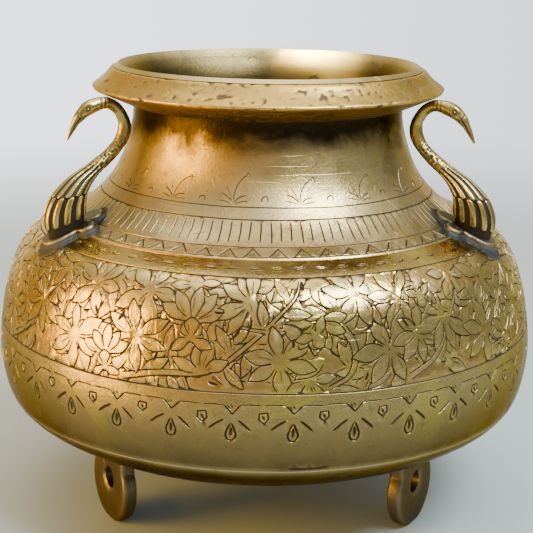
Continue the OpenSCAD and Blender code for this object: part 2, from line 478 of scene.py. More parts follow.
def flat_mesh(page, low, high, columns, spacing, rows=(), ground=None):
    """Triangles for a page between two heights. Cuts' centres and edges become mesh edges."""
    width = page.width
    pieces = page.visible()
    look = depth_field(pieces, 0, width)
    points, edges = [], []

    def add_chain(chain):
        first = len(points)
        points.extend((float(x), float(y)) for x, y in chain)
        edges.extend((i, i + 1) for i in range(first, first + len(chain) - 1))

    beside = []
    for line, halves, _ in pieces:
        kept = thinned(line, STRAY, 4.0)
        centre, thin = line[kept], halves[kept]
        for chain in (centre, *side_lines(centre, thin)):
            for part in cropped(chain, 0, width):
                add_chain(part)
        if not LEAF_FOOT < centre[:, 1].mean() < LEAF_TOP:
            beside += [side[::2] for side in side_lines(centre, thin + BESIDE)]
    levels = sorted([*np.linspace(low, high, max(3, int((high - low) / SEAM_ROWS))), *rows])
    for level in (low, high, *rows):
        add_chain([(i * width / columns, level) for i in range(columns + 1)])
    for border in (0, width):
        add_chain([(border, level) for level in levels])
    rng = np.random.default_rng(5)
    fills = []
    for zone_low, zone_high, gap in spacing:
        rows_up = int((zone_high - zone_low) / (gap * 0.87))
        across = int(width / gap)
        for j in range(1, rows_up):
            y = zone_low + (zone_high - zone_low) * j / rows_up
            x = (np.arange(1, across) + (j % 2) * 0.5) * width / across
            row = np.column_stack([x, np.full(len(x), y)]) + rng.uniform(-0.15, 0.15, (len(x), 2)) * gap
            fills.append(row[(row[:, 0] > gap * 0.5) & (row[:, 0] < width - gap * 0.5)])
    if ground:
        fills.append(ground(page, rng))
    for x, y in np.concatenate(fills):
        if look(x, y)[1] > 0.5:
            points.append((float(x), float(y)))
    for x, y in np.concatenate(beside):
        if 1 < x < width - 1 and low + 0.4 < y < high - 0.4 and look(x, y)[1] > 0.2:
            points.append((float(x), float(y)))
    flat, _, faces, _, _, _ = delaunay_2d_cdt([Vector(p) for p in points], edges, [], 0, 0.004)
    flat = np.array([(p.x, p.y) for p in flat])
    measured = np.array([look(x, y) for x, y in flat])
    print("page: %d cuts, %d points, %d triangles" % (len(pieces), len(flat), len(faces)))
    return flat, faces, measured[:, 0], measured[:, 1]


# %% [markdown]
# ## Leaves and flowers
# Every leaf and petal on the belly is one closed outline with a narrow foot and a full middle. The
# outline stays open at the foot, so that petals melt together at a flower's centre. Some leaves
# carry a vein or a second line along one side.

# %% One leaf, and groups of leaves
def leaf_shape(foot, length, width, direction, bend=0.0, fullness=1.25, tip=0.12):
    """Outline of a leaf from its foot round its tip and back to its foot, and its vein."""
    share = np.linspace(0, 1, 26)
    half = 0.5 * width * np.sin(np.pi * share ** fullness) ** 0.85 + 0.05 * width * (1 - share)
    along = length * (share + tip * share ** 6)
    side = bend * length * share ** 2
    left = np.column_stack([along, side + half])
    right = np.column_stack([along, side - half])
    vein = np.column_stack([along, side])
    c, s = math.cos(direction), math.sin(direction)
    spin = np.array([[c, s], [-s, c]])
    outline_points = np.concatenate([left, right[-2::-1]]) @ spin + foot
    return outline_points, vein @ spin + foot


def draw_leaf(page, rng, foot, length, width, direction, bend=0.0, fullness=1.25, vein=0.5, tip=0.12):
    """Covers what is under the leaf, then cuts its outline and perhaps a vein or a side line."""
    shape, middle = leaf_shape(np.array(foot, float), length, width, direction, bend, fullness, tip)
    page.cover(shape)
    skip = max(2, int(0.12 * len(shape) / 2))
    page.cut(shape[skip:-skip], half=rng.uniform(0.24, 0.32), depth=rng.uniform(0.27, 0.36))
    if rng.random() < vein:
        stop = int(len(middle) * rng.uniform(0.5, 0.75))
        page.cut(middle[3:stop], half=0.2, depth=0.2)
    elif rng.random() < 0.35:
        second = middle + (shape[:len(middle)] - middle) * 0.45
        page.cut(second[7:19], half=0.2, depth=0.2)


def draw_star(page, rng, x, y, petals, size, start, sweep=360, width=0.46, vein=0.35):
    """Petals spread round a centre, over a whole or a part of a turn. Angles are in degrees."""
    gap = sweep / petals
    for i in rng.sample(range(petals), petals):
        direction = math.radians(start + gap * (i + 0.5) + rng.uniform(-7, 7))
        length = size * rng.uniform(0.88, 1.12)
        foot = (x + 0.8 * math.cos(direction), y + 0.8 * math.sin(direction))
        draw_leaf(page, rng, foot, length, length * width * rng.uniform(0.88, 1.12), direction,
                  rng.uniform(-0.16, 0.16), 1.35, vein)


def draw_lotus(page, rng, x, y, size, lean=0.0):
    """A fan of tall petals behind, and a scalloped cup of round petals in front."""
    lean = math.radians(lean)
    for turn_by in (-68, 64, -38, 34, -8):
        direction = math.pi / 2 + lean + math.radians(turn_by)
        length = size * rng.uniform(0.95, 1.08)
        draw_leaf(page, rng, (x, y), length, size * 0.4, direction, 0, 1.5, 0.1, 0.03)
    for turn_by in (-95, 92, -52, 50, 0):
        direction = math.pi / 2 + lean + math.radians(turn_by)
        foot = (x - 0.25 * size * math.cos(direction),
                y - 0.38 * size - 0.1 * size * math.sin(direction))
        draw_leaf(page, rng, foot, size * 0.62, size * 0.44, direction, 0, 1.7, 0.0, 0.0)
    for turn_by in (-120, 118):
        direction = math.pi / 2 + lean + math.radians(turn_by)
        draw_leaf(page, rng, (x, y - 0.45 * size), size * 0.62, size * 0.32, direction, 0.12, 1.4, 0.3)


def draw_stem(page, points, thickness):
    """Two lines that narrow to the end, over what lies beneath."""
    line = through(points)
    halves = thickness / 2 * np.linspace(1, 0.35, len(line))
    left, right = side_lines(line, halves)
    page.cover(np.concatenate([left, right[::-1]]))
    page.cut(left, half=0.25, depth=0.3)
    page.cut(right, half=0.3, depth=0.34)


def draw_gouge(page, x, y, length, direction, half=0.62):
    """A deep boat-shaped cut between leaves."""
    c, s = math.cos(math.radians(direction)), math.sin(math.radians(direction))
    line = np.array([[-0.5, 0.06], [-0.2, -0.03], [0.2, -0.03], [0.5, 0.06]]) * length
    page.cut(line @ np.array([[c, s], [-s, c]]) + (x, y), half=half, depth=0.5, taper=length * 0.4)


# %% [markdown]
# ### The leaf band
# The band round the belly is one branch that climbs through flowers, drawn four times round the
# pot. Each bay is a short list of what grows where, in millimetres from the bay's middle and above
# the band's lower line. Chance moves and turns everything a little, so no bay repeats another.

# %% List one bay of the leaf band, and draw it all round
# A stem is its points and its thickness. A star is its place, its petals, its size, the angle it
# starts at, how far round it goes and how wide its petals are. A lotus is its place, size and lean.
# A twig leaf and a gouge are a place, a length and an angle.
BAYS = 4
BELLY_R = 95.0
NECK_R = 62.0
STEMS = [
    ([(-46, 1.5), (-33, 4), (-17, 7), (-4, 15), (3, 23.5), (9.5, 31), (13, 37)], 2.2),
    ([(21, 24), (26.5, 17), (29.5, 11), (27, 4.5), (20, 1.5)], 3.0),
    ([(-66, 2), (-62, 11), (-57, 17), (-48, 24), (-41, 30)], 1.8),
    ([(29, 31), (36, 27), (45, 29)], 1.4),
    ([(46, 2), (56, 7), (63, 14), (66, 20), (73, 30)], 2.0),
    ([(1, 19), (-8, 21), (-15, 27)], 1.2)]
STARS = [
    (-40, 30, 5, 10.5, 20, 360, 0.5), (-41, 15.5, 6, 9.5, 0, 360, 0.42), (4.5, 10, 6, 10, 12, 360, 0.5),
    (45, 29, 6, 10.5, -20, 360, 0.46), (40, 12, 6, 10.5, 25, 360, 0.47), (-5, 28.5, 5, 11.5, 60, 190, 0.42),
    (64, 20, 6, 11, 95, 250, 0.42), (-62, 29, 5, 9.5, 40, 360, 0.5), (-66, 11, 6, 10, 10, 360, 0.45),
    (30, 31.5, 5, 9, 20, 300, 0.5), (52, 15.5, 5, 8.5, 70, 230, 0.45), (-24, 34, 4, 8, 150, 240, 0.5),
    (71, 33, 4, 8, 150, 240, 0.5), (14, 4.5, 4, 8, 190, 190, 0.5), (-20, 5.5, 4, 8, 10, 160, 0.5)]
LOTUSES = [(-22.5, 21, 11, 0), (17, 22, 10, -150), (56, 32, 9, 190), (-53, 7, 9, 10)]
TWIGS = [
    (-10, 12, 9, 120), (-4, 16, 9.5, 10), (0, 20, 9, 95), (4, 25, 9.5, -5), (7, 29, 8.5, 110),
    (-17, 7, 8, 80), (-27, 5.5, 8, 100), (-30, 4.5, 8, -60), (-12, 8.5, 8.5, -45), (-4, 14, 8, -50),
    (28, 8, 8, 20), (25, 18, 8.5, 40), (60, 12, 9, 150), (57, 8, 8, 40), (68, 25, 9, -30),
    (-59, 15, 8.5, 10), (-52, 21, 9, 100), (-46, 26, 8, 15), (36, 27, 7.5, -70)]
GOUGES = [
    (-14, 25, 4, -10), (13.5, 34, 4.5, 75), (-9.5, 19, 5, 65), (-4, 20.5, 4, 60), (9, 16, 3.5, 80),
    (-48.5, 20, 4.5, 70), (34, 20, 4, 50), (47, 20, 4.5, -65), (22, 12, 4, -50), (-16, 3, 4, -25),
    (-34, 9, 3.5, 60), (58, 25, 4, 70), (-58, 21, 4, -60), (31, 4, 3.5, 80)]
SMALL_LEAVES = 190


def draw_bay(page, middle, base, seed):
    rng = random.Random(seed)

    def moved(x, y):
        return middle + x + rng.uniform(-1, 1), base + y + rng.uniform(-0.6, 0.6)

    for _ in range(SMALL_LEAVES):
        x, y = rng.uniform(-75, 75), rng.uniform(1, 37)
        length, width = rng.uniform(7, 10.5), rng.uniform(3.4, 5.2)
        direction, bend = rng.uniform(0, 6.3), rng.uniform(-0.2, 0.2)
        draw_leaf(page, rng, (middle + x, base + y), length, width, direction, bend, 1.1, 0.4)
    for x, y, length, angle in TWIGS:
        foot, direction = moved(x, y), math.radians(angle + rng.uniform(-9, 9))
        draw_leaf(page, rng, foot, length, length * 0.4, direction, 0.1, 1.15, 0.7)
    for points, thickness in STEMS:
        draw_stem(page, [moved(x, y) for x, y in points], thickness)
    for x, y, petals, size, start, sweep, width in STARS:
        draw_star(page, rng, *moved(x, y), petals, size, start + rng.uniform(-10, 10), sweep, width)
    for x, y, size, lean in LOTUSES:
        draw_lotus(page, rng, *moved(x, y), size, lean + rng.uniform(-8, 8))
    for x, y, length, angle in GOUGES:
        draw_gouge(page, *moved(x, y), length, angle + rng.uniform(-15, 15))


belly_page = Page(BELLY_R)
bay_width = belly_page.width / BAYS
FRONT = belly_page.width / 2
for bay in range(-1, BAYS + 2):
    draw_bay(belly_page, FRONT + (bay - 2) * bay_width, LEAF_FOOT, 11 + bay % BAYS)
print("leaf band: %d cuts before the borders" % len(belly_page.cuts))

# %% [markdown]
# ### Borders above and below the leaves
# Plain lines frame the leaf band. Under it hang thirty-two V notches with a small palmette under
# each and a punch mark between them. Above it a rounded strip carries a row of chisel nicks. Each
# of these is one mark, repeated by the band tree.

# %% Draw repeated marks through the band tree
OVERLAP = 6
WANDER = 0.12


def hide_rows(page, low, high):
    """Clears a strip of the page all round."""
    page.cover(np.array([(-40.0, low), (page.width + 40, low), (page.width + 40, high), (-40.0, high)]),
               False)


def ring_line(page, level, half=0.27, depth=0.3, seed=1):
    """A line all the way round that wanders a little."""
    x = np.arange(-OVERLAP, page.width + OVERLAP, 1.0)
    turn_at = x / page.radius
    y = level + WANDER * (np.sin(3 * turn_at + seed) + 0.6 * np.sin(8 * turn_at + 2.3 * seed)
                          + 0.3 * np.sin(21 * turn_at + seed))
    page.cut(np.column_stack([x, y]), half, depth, taper=0)


def stamp(page, marks, count, level, lean=0.04, stretch=0.06, seed=1, shift=0.0):
    """Repeats a mark all round. A mark is a list of (points, half width, depth)."""
    points, edges, stretch_x = [], [], page.radius / radius_at(level)
    for line, _, _ in marks:
        first = len(points)
        points += [(x * stretch_x, y, 0) for x, y in line]
        edges += [(i, i + 1) for i in range(first, first + len(line) - 1)]
    mark = mesh_object("mark", points, [], edges)
    pitch = page.width / count
    mesh = run_tree(mark, band_tree, {
        "Count": count, "Pitch": pitch, "Start": pitch * (0.5 + shift), "Level": level, "Lean": lean,
        "Stretch": stretch, "Seed": seed, "Material": None})
    found = np.array([vertex.co[:2] for vertex in mesh.vertices], float).reshape(count, len(points), 2)
    bpy.data.meshes.remove(mesh)
    for copy in found:
        first = 0
        for line, half, depth in marks:
            drawn = copy[first:first + len(line)]
            first += len(line)
            for around in (0, page.width, -page.width):
                if -OVERLAP < drawn[0, 0] + around < page.width + OVERLAP:
                    page.cut(drawn + (around, 0), half, depth)


hide_rows(belly_page, LOW_SEAM - 5, LEAF_FOOT)
hide_rows(belly_page, LEAF_TOP, LEDGE + 5)
ring_line(belly_page, LEAF_FOOT, 0.32, 0.3, seed=1)
ring_line(belly_page, LEAF_TOP, 0.3, 0.32, seed=2)
print("with the rings: %d cuts" % len(belly_page.cuts))

# %% Strike the notches, the palmettes, the punch marks and the nicks
NOTCHES = 32
NICKS = 70
half_pitch = math.pi * 99 / NOTCHES
notch = [([(-half_pitch, 0), (-5.5, 0.1), (-2.8, 0)], 0.26, 0.28),
         ([(2.8, 0), (5.5, 0.1), (half_pitch, 0)], 0.26, 0.28),
         ([(-2.9, 0.2), (-1.3, -1.3), (0.1, -3.0)], 0.36, 0.38),
         ([(2.9, 0.2), (1.5, -1.3), (0, -2.9)], 0.36, 0.38),
         ([(-1.7, 0.2), (-0.3, -1.5)], 0.34, 0.3), ([(-0.6, 0.4), (0.5, -1.2)], 0.3, 0.3)]
teardrop = [(0, -5.9), (-0.9, -8.0), (-1.6, -10.2), (-1.2, -11.9), (0, -12.6), (1.2, -11.9), (1.6, -10.2),
            (0.9, -8.0), (0, -5.9)]
palmette = [([(-1.9, -4.9), (-4.6, -6.7), (-7.3, -9.0)], 0.5, 0.48),
            ([(1.9, -4.9), (4.3, -6.9), (6.5, -9.1)], 0.46, 0.46),
            (through(teardrop), 0.34, 0.4), ([(0, -7.4), (0.1, -9.2), (0, -11.4)], 0.62, 0.42)]
punch = [([(0.1, -5.7), (-1.5, -4.4), (-1.3, -2.4), (1.3, -2.2), (1.5, -4.3), (-0.1, -5.8)], 0.32, 0.38),
         ([(-0.5, -2.7), (0.1, -3.9), (0.4, -5.0)], 0.55, 0.34)]
stamp(belly_page, notch, NOTCHES, PETAL_LINE, 0.03, 0.08, seed=3)
stamp(belly_page, palmette, NOTCHES, PETAL_LINE, 0.05, 0.07, seed=4)
stamp(belly_page, punch, NOTCHES, PETAL_LINE, 0.12, 0.15, seed=5, shift=0.5)
nick = [([(-2.1, 0.25), (-0.7, -0.45), (0.9, -0.4), (2.2, 0.3)], 0.42, 0.4),
        ([(-1.6, 0.75), (0, 0.62), (1.7, 0.8)], 0.24, 0.2)]
stamp(belly_page, nick, NICKS, (LEAF_TOP + LEDGE) / 2 + 0.2, 0.12, 0.2, seed=6)
seam_line = [(FRONT + 8, LOW_SEAM + 1.6), (FRONT + 15, LOW_SEAM + 1.1), (FRONT + 21, LOW_SEAM + 1.9)]
belly_page.cut(seam_line, 0.34, 0.34)
print("belly: %d cuts" % len(belly_page.cuts))

# %% [markdown]
# ### The neck's drawing
# The neck is drawn more lightly. From the ledge up come a row of small teeth, a blank strip, a comb
# of short ticks that hang from a line, and a row of small plants that stand on the next line. Only
# the lowest third of the neck is cut, and the rest is left smooth.

# %% Draw the neck
TEETH = 56
TICKS = 120
PLANTS = 16
neck_page = Page(NECK_R)
hatch = [([(-2.1 + 1.1 * i, 0.1), (-1.3 + 0.8 * i, 1.2 + 0.5 * i)], 0.24, 0.26) for i in range(3)]
tooth = [([(-3.2, 0.0), (-1.5, 1.9), (0.2, 4.1)], 0.34, 0.34),
         ([(-0.2, 4.4), (1.4, 2.0), (2.9, -0.1)], 0.3, 0.3)] + hatch
stamp(neck_page, tooth, TEETH, LEDGE + 1.7, 0.06, 0.1, seed=7)
ring_line(neck_page, LEDGE + 1.5, 0.26, 0.26, seed=3)
ring_line(neck_page, TOOTH_LINE + 0.6, 0.22, 0.22, seed=4)
tick_marks = [([(0, 0), (0.1, -4.4), (-0.1, -9.2)], 0.28, 0.3)]
stamp(neck_page, tick_marks, TICKS, TICK_TOP - 0.2, 0.04, 0.1, seed=8)
ring_line(neck_page, TICK_TOP, 0.28, 0.28, seed=5)
ring_line(neck_page, SPRIG_LINE, 0.24, 0.24, seed=6)
plant = [(through([(0, 0.6), (0.3, 4.0), (1.8, 7.4), (4.3, 9.6), (5.6, 9.0)]), 0.22, 0.2),
         ([(4.1, 9.9), (5.3, 10.4), (6.1, 9.5), (5.6, 8.5)], 0.26, 0.22),
         (through([(0, 0.8), (-1.7, 2.9), (-4.6, 4.4)]), 0.26, 0.22),
         (through([(-0.3, 0.6), (-2.8, 1.6), (-5.3, 1.9)]), 0.2, 0.18),
         (through([(0.2, 0.8), (2.0, 2.6), (4.9, 3.4)]), 0.24, 0.22),
         (through([(0.2, 0.5), (3.0, 1.3), (5.6, 1.4)]), 0.2, 0.18),
         (through([(-0.4, 1.4), (-1.4, 4.4), (-3.2, 7.2)]), 0.2, 0.18)]
curl = [(through([(-1.2, 1.2), (-0.9, 2.7), (0.5, 3.1), (1.1, 2.0), (0.4, 1.2)]), 0.24, 0.26)]
stamp(neck_page, plant, PLANTS, SPRIG_LINE + 0.5, 0.07, 0.1, seed=9)
stamp(neck_page, curl, PLANTS, SPRIG_LINE + 0.5, 0.3, 0.2, seed=10, shift=0.5)
print("belly %d cuts, neck %d cuts" % (len(belly_page.cuts), len(neck_page.cuts)))

# %% [markdown]
# ## The pot's three shells
# Base pan, belly and neck are sheet metal two millimetres thick. Outside each is a flat page bent
# round the outline, inside is a plain grid, and a strip at each end joins the two. The sheet is
# hammered work, so a slow unevenness moves the surface by a tenth of a millimetre. Two attributes
# are kept for the finish: how deep a point lies in a cut, and whether it is inside the pot.

# %% Bend a page and close it into a sheet
INNER_COLUMNS = 192
MERGE = 0.01


def unevenness(x, y, width):
    """Slow hammer unevenness in millimetres, the same at both ends of the page."""
    turn_at = 2 * math.pi * x / width
    place = Vector((math.cos(turn_at) * width / 6.28, math.sin(turn_at) * width / 6.28, y))
    return 0.09 * noise.noise(place * 0.055) + 0.035 * noise.noise(place * 0.16)


def shell_from(name, page, low, high, flat, faces, heights, cavity, sunk_ground):
    """Joins an outer sheet, an inner grid and two end strips, and bends all of it round the pot."""
    rows = max(4, int((high - low) / 4))
    points = [(x * MM, y * MM, z * MM) for (x, y), z in zip(flat, heights)]
    all_faces = [tuple(face) for face in faces]
    first_inner = len(points)
    for j in range(rows + 1):
        y = low + (high - low) * j / rows
        points += [(i * page.width / INNER_COLUMNS * MM, y * MM, -SHEET * MM)
                   for i in range(INNER_COLUMNS + 1)]
    stride = INNER_COLUMNS + 1
    for j in range(rows):
        for i in range(INNER_COLUMNS):
            a = first_inner + j * stride + i
            all_faces.append((a, a + stride, a + stride + 1, a + 1))
    for level, row in ((low, 0), (high, rows)):
        edge = [index for index in range(first_inner) if abs(flat[index][1] - level) < 1e-3]
        edge.sort(key=lambda index: flat[index][0])
        inner = [first_inner + row * stride + i for i in range(stride)]
        if len(edge) != stride:
            print("edge has %d points, not %d" % (len(edge), stride))
        all_faces += [(edge[k], edge[k + 1], inner[k + 1], inner[k])
                      for k in range(min(len(edge), stride) - 1)]
    sheet = mesh_object(name + "_flat", points, all_faces)
    plain = [0.0] * (len(points) - first_inner)
    inside = [0.0] * first_inner + [1.0] * len(plain)
    for label, values in (("cavity", list(cavity) + plain), ("inside", inside),
                          ("ground", list(sunk_ground) + plain)):
        sheet.data.attributes.new(label, "FLOAT", "POINT").data.foreach_set("value", values)
    return run_tree(sheet, wrap_tree, {"Outline": outline_guide, "Reference radius": page.radius * MM,
                                       "First angle": math.pi / 2, "Material": None})


def slivers_on_seam(work):
    """Faces that hang on a joined edge by one side and end in the air on another."""
    return [face for face in work.faces
            if any(len(edge.link_faces) == 1 for edge in face.edges)
            and any(len(edge.link_faces) > 2 for edge in face.edges)]


def close_and_shade(name, mesh, sharp_degrees=28):
    """Merges the seam, turns faces outwards, marks sharp edges and steadies the shading."""
    work = bmesh.new()
    work.from_mesh(mesh)
    bmesh.ops.remove_doubles(work, verts=work.verts, dist=MERGE * MM)
    bmesh.ops.dissolve_degenerate(work, dist=0.002 * MM, edges=work.edges)
    bmesh.ops.recalc_face_normals(work, faces=work.faces)
    spare = slivers_on_seam(work)
    while spare:
        bmesh.ops.delete(work, geom=spare, context="FACES")
        spare = slivers_on_seam(work)
    open_edges = sum(1 for edge in work.edges if len(edge.link_faces) != 2)
    work.to_mesh(mesh)
    triangles = sum(len(face.verts) - 2 for face in work.faces)
    work.free()
    mesh.shade_smooth()
    mesh.set_sharp_from_angle(angle=math.radians(sharp_degrees))
    mesh.name = name
    piece = bpy.data.objects.new(name, mesh)
    bpy.context.collection.objects.link(piece)
    steady = piece.modifiers.new("steady", "WEIGHTED_NORMAL")
    steady.mode = "FACE_AREA"
    steady.weight = 50
    steady.keep_sharp = True
    bpy.context.view_layer.update()
    evaluated = piece.evaluated_get(bpy.context.evaluated_depsgraph_get())
    piece.data = bpy.data.meshes.new_from_object(evaluated)
    piece.modifiers.remove(steady)
    print("%s: %d triangles, %d open edges" % (name, triangles, open_edges))
    return piece


def closed_piece(name, points, faces, cavity, sharp_degrees):
    """A finished piece from points in metres and the darkness of the hollow at each."""
    raw = mesh_object(name + "_raw", points, faces)
    raw.data.attributes.new("cavity", "FLOAT", "POINT").data.foreach_set("value", cavity)
    mesh = raw.data
    bpy.data.objects.remove(raw)
    return close_and_shade(name, mesh, sharp_degrees)


# %% [markdown]
# ### Heights of the engraved band
# Leaves and flowers stand at the sheet's own level, and the ground between them has been punched
# down by a quarter of a millimetre. The sheet also sinks a little beside each cut, which gives the
# leaves their pillowed look.

# %% Build the belly
FULL_CUT = 0.3


def covered_by_shapes(page, points):
    """True for each point that lies on a leaf, a flower or a stem."""
    found = np.zeros(len(points), bool)
    order = np.argsort(points[:, 0])
    sorted_x = points[order, 0]
    for shape in page.shapes:
        low, high = shape.min(axis=0), shape.max(axis=0)
        near = order[np.searchsorted(sorted_x, low[0]):np.searchsorted(sorted_x, high[0])]
        near = near[(points[near, 1] > low[1]) & (points[near, 1] < high[1]) & ~found[near]]
        if len(near):
            found[near] = inside_polygon(points[near], shape)
    return found


def leaf_ground(page, rng):
    """Extra points in the sunk ground between leaves."""
    x, y = np.meshgrid(np.arange(1, page.width - 1, 1.05),
                       np.arange(LEAF_FOOT + 0.8, LEAF_TOP - 0.5, 0.95))
    points = np.column_stack([x.ravel(), y.ravel()])
    points += rng.uniform(-0.3, 0.3, points.shape)
    return points[~covered_by_shapes(page, points)]


def ring_of_chance(x, y, width, scale, seed):
    """Noise that meets itself round the pot."""
    turn_at = 2 * math.pi * x / width
    radius = width / (2 * math.pi)
    place = Vector((math.cos(turn_at) * radius, math.sin(turn_at) * radius, y + 50 * seed))
    return noise.noise(place * scale)


def belly_heights(page, flat, cut_depth, nearest, low, high):
    sunk = ~covered_by_shapes(page, flat)
    sunk &= (flat[:, 1] > LEAF_FOOT + 0.25) & (flat[:, 1] < LEAF_TOP - 0.25)
    heights = []
    for (x, y), cut, near, ground in zip(flat, cut_depth, nearest, sunk):
        z = unevenness(x, y, page.width) - cut
        if LEAF_FOOT < y < LEAF_TOP:
            z += 0.1 * (min(near, 0.9) - 0.9)
        if ground:
            z -= 0.24 + 0.14 * ring_of_chance(x, y, page.width, 0.9, 1)
        if y < low + 0.2 or y > high - 0.2:
            z -= 0.12
        heights.append(z)
    return heights, sunk.astype(float)


flat, faces, cut_depth, nearest = flat_mesh(
    belly_page, LOW_SEAM, LEDGE, INNER_COLUMNS,
    [(LOW_SEAM, PETAL_LINE - 16, 2.2), (PETAL_LINE - 16, LEAF_FOOT, 1.5), (LEAF_FOOT, LEAF_TOP, 1.7),
     (LEAF_TOP, LEDGE, 1.6)],
    (LOW_SEAM + 0.5, LEDGE - 0.5), leaf_ground)
heights, sunk = belly_heights(belly_page, flat, cut_depth, nearest, LOW_SEAM, LEDGE)
belly_mesh = shell_from("belly", belly_page, LOW_SEAM, LEDGE, flat, faces, heights,
                        np.clip(cut_depth / FULL_CUT, 0, 1.4), sunk)
belly = close_and_shade("belly", belly_mesh)

# %% Build the neck, whose lower edge stands proud of the belly
flat, faces, cut_depth, nearest = flat_mesh(
    neck_page, LEDGE, LIP, INNER_COLUMNS,
    [(LEDGE + 1.4, SPRIG_LINE + 14, 2.2), (SPRIG_LINE + 14, LIP, 3.0)],
    (LEDGE + 0.5, LEDGE + 1.1, LIP - 0.4))
heights = []
for (x, y), cut in zip(flat, cut_depth):
    z = unevenness(x, y, neck_page.width) - cut
    if y < LEDGE + 1.0:
        z += 0.42 if y > LEDGE + 0.2 else 0.2
    heights.append(z)
neck_mesh = shell_from("neck", neck_page, LEDGE, LIP, flat, faces, heights,
                       np.clip(cut_depth / FULL_CUT, 0, 1.4), np.zeros(len(flat)))
neck = close_and_shade("neck", neck_mesh)


# %% Build the base pan
TURNED_RINGS = (17.0, 19.5, 64.0)


def base_rows():
    """Heights of the pan's rows: closer together where a turned ring is."""
    rows = list(np.linspace(0, LOW_SEAM, 44))
    for ring in TURNED_RINGS:
        rows += [ring - 0.5, ring - 0.2, ring, ring + 0.2, ring + 0.5]
    return np.array(sorted(rows + [LOW_SEAM - 0.5]))


base_page = Page(BELLY_R)
stride = INNER_COLUMNS + 1
levels = base_rows()
flat = np.array([(i * base_page.width / INNER_COLUMNS, y) for y in levels for i in range(stride)])
faces = [(j * stride + i, j * stride + i + 1, (j + 1) * stride + i + 1, (j + 1) * stride + i)
         for j in range(len(levels) - 1) for i in range(INNER_COLUMNS)]
heights, dark = [], []
for x, y in flat:
    groove = max(0.0, 0.22 - min(abs(y - ring) for ring in TURNED_RINGS) * 0.7)
    fade = min(1.0, y / 20)
    z = fade * 1.4 * unevenness(x, y, base_page.width) - groove - (0.12 if y > LOW_SEAM - 0.2 else 0)
    heights.append(z)
    dark.append(groove * 2)
base_mesh = shell_from("base", base_page, 0.0, LOW_SEAM, flat, faces, heights, dark, np.zeros(len(flat)))
base = close_and_shade("base", base_mesh)

# %% [markdown]
# ## The collar
# A heavy cast ring slipped over the neck and burnished down. Its face is pitted like old castings
# are, and its edge is worn round. It is one section swept round the axis, with noise for the pits.

# %% Sweep a closed section round the axis
SECTION_STEP = 0.45
RUBS = 3
COLLAR_COLUMNS = 400


def rounded_section(points):
    """A closed section with its corners rubbed round."""
    p = resample(np.array(list(points) + [points[0]], float), SECTION_STEP)[:-1]
    for _ in range(RUBS):
        p = 0.25 * np.roll(p, 1, axis=0) + 0.5 * p + 0.25 * np.roll(p, -1, axis=0)
    return p


def swept_ring(name, section, columns, relief):
    """Sweeps a closed section round Z. The relief moves a point along its normal, in mm."""
    along = np.roll(section, -1, axis=0) - np.roll(section, 1, axis=0)
    along /= np.hypot(*along.T)[:, None]
    normal = np.column_stack([along[:, 1], -along[:, 0]])
    points, cavity = [], []
    for i in range(columns):
        angle = 2 * math.pi * i / columns
        c, s = math.cos(angle), math.sin(angle)
        for (r, z), (nr, nz) in zip(section, normal):
            move, dark = relief(r, z, angle)
            points.append(((r + nr * move) * c * MM, (r + nr * move) * s * MM, (z + nz * move) * MM))
            cavity.append(dark)
    n = len(section)
    faces = [(i * n + j, (i + 1) % columns * n + j, (i + 1) % columns * n + (j + 1) % n,
              i * n + (j + 1) % n)
             for i in range(columns) for j in range(n)]
    return closed_piece(name, points, faces, cavity, 40)


def collar_relief(r, z, angle):
    place = Vector((r * math.cos(angle), r * math.sin(angle), z))
    move = 0.16 * noise.noise(place * 0.12) + 0.07 * noise.noise(place * 0.45)
    pit = noise.noise(place * 0.55 + Vector((7, 0, 0)))
    depth = max(0.0, pit - 0.22) * 0.5
    return move - depth, min(1.0, depth * 4)


neck_face = [(radius_at(run_at(z)), z) for z in np.linspace(164.6, 151.6, 14)]
collar_section = [(49.6, 151.1), (56.0, 153.75), (63.4, 156.9), (64.25, 157.5), (64.3, 158.1),
                  (62.6, 159.2), (60.2, 161.1), (58.4, 163.0), (57.25, 164.45), (56.8, 164.8)]
collar_section += [(r + 0.04, z) for r, z in neck_face]
collar = swept_ring("collar", rounded_section(collar_section), COLLAR_COLUMNS, collar_relief)

# %% [markdown]
# ## The swans
# Each handle is a cast swan: a ribbed breast that narrows to a foot, long feathers above a
# scalloped line, a nicked lower neck, a smooth hooked neck, and a head with a brow and a long bill.
# It is a loft through oval rings. The same loft is turned to three places.

# %% Describe the swan's rings and its relief
# Each ring is the radius and height of its inner and outer ends, and half its width.
SWAN_RINGS = [
    (72.6, 114.7, 85.9, 108.7, 4.6), (71.9, 118.2, 87.3, 114.2, 5.6), (71.8, 121.6, 86.4, 119.4, 5.9),
    (71.1, 124.6, 83.6, 124, 5.6), (68.9, 128, 77.6, 129.6, 4.2), (66, 130.9, 71.3, 133.3, 3),
    (62.5, 134, 65.8, 136.7, 2.2), (58.5, 138, 62.1, 139.8, 2), (55.8, 142, 59.8, 143, 2),
    (55, 146.2, 58.9, 146.9, 1.95), (56.4, 150.4, 60, 149.9, 1.85), (59.3, 154.2, 61.7, 151.8, 1.75),
    (63.4, 156.2, 64, 152.8, 1.8), (67.8, 156, 67.5, 152, 2.1), (71.6, 154.6, 70.5, 150.7, 2.1),
    (74.1, 152.1, 72.4, 149.4, 1.5), (75.6, 149.2, 74.2, 148.1, 0.9), (77.1, 146, 76, 145.5, 0.6),
    (78.5, 142.5, 78.1, 142.3, 0.3)]
SWAN_STEPS = 14
SWAN_AROUND = 112
RIBS = 11
SWAN_ANGLES = {"left": 209.0, "right": 336.5, "back": 93.0}


def step_between(low, high, value):
    t = min(1.0, max(0.0, (value - low) / (high - low)))
    return t * t * (3 - 2 * t)


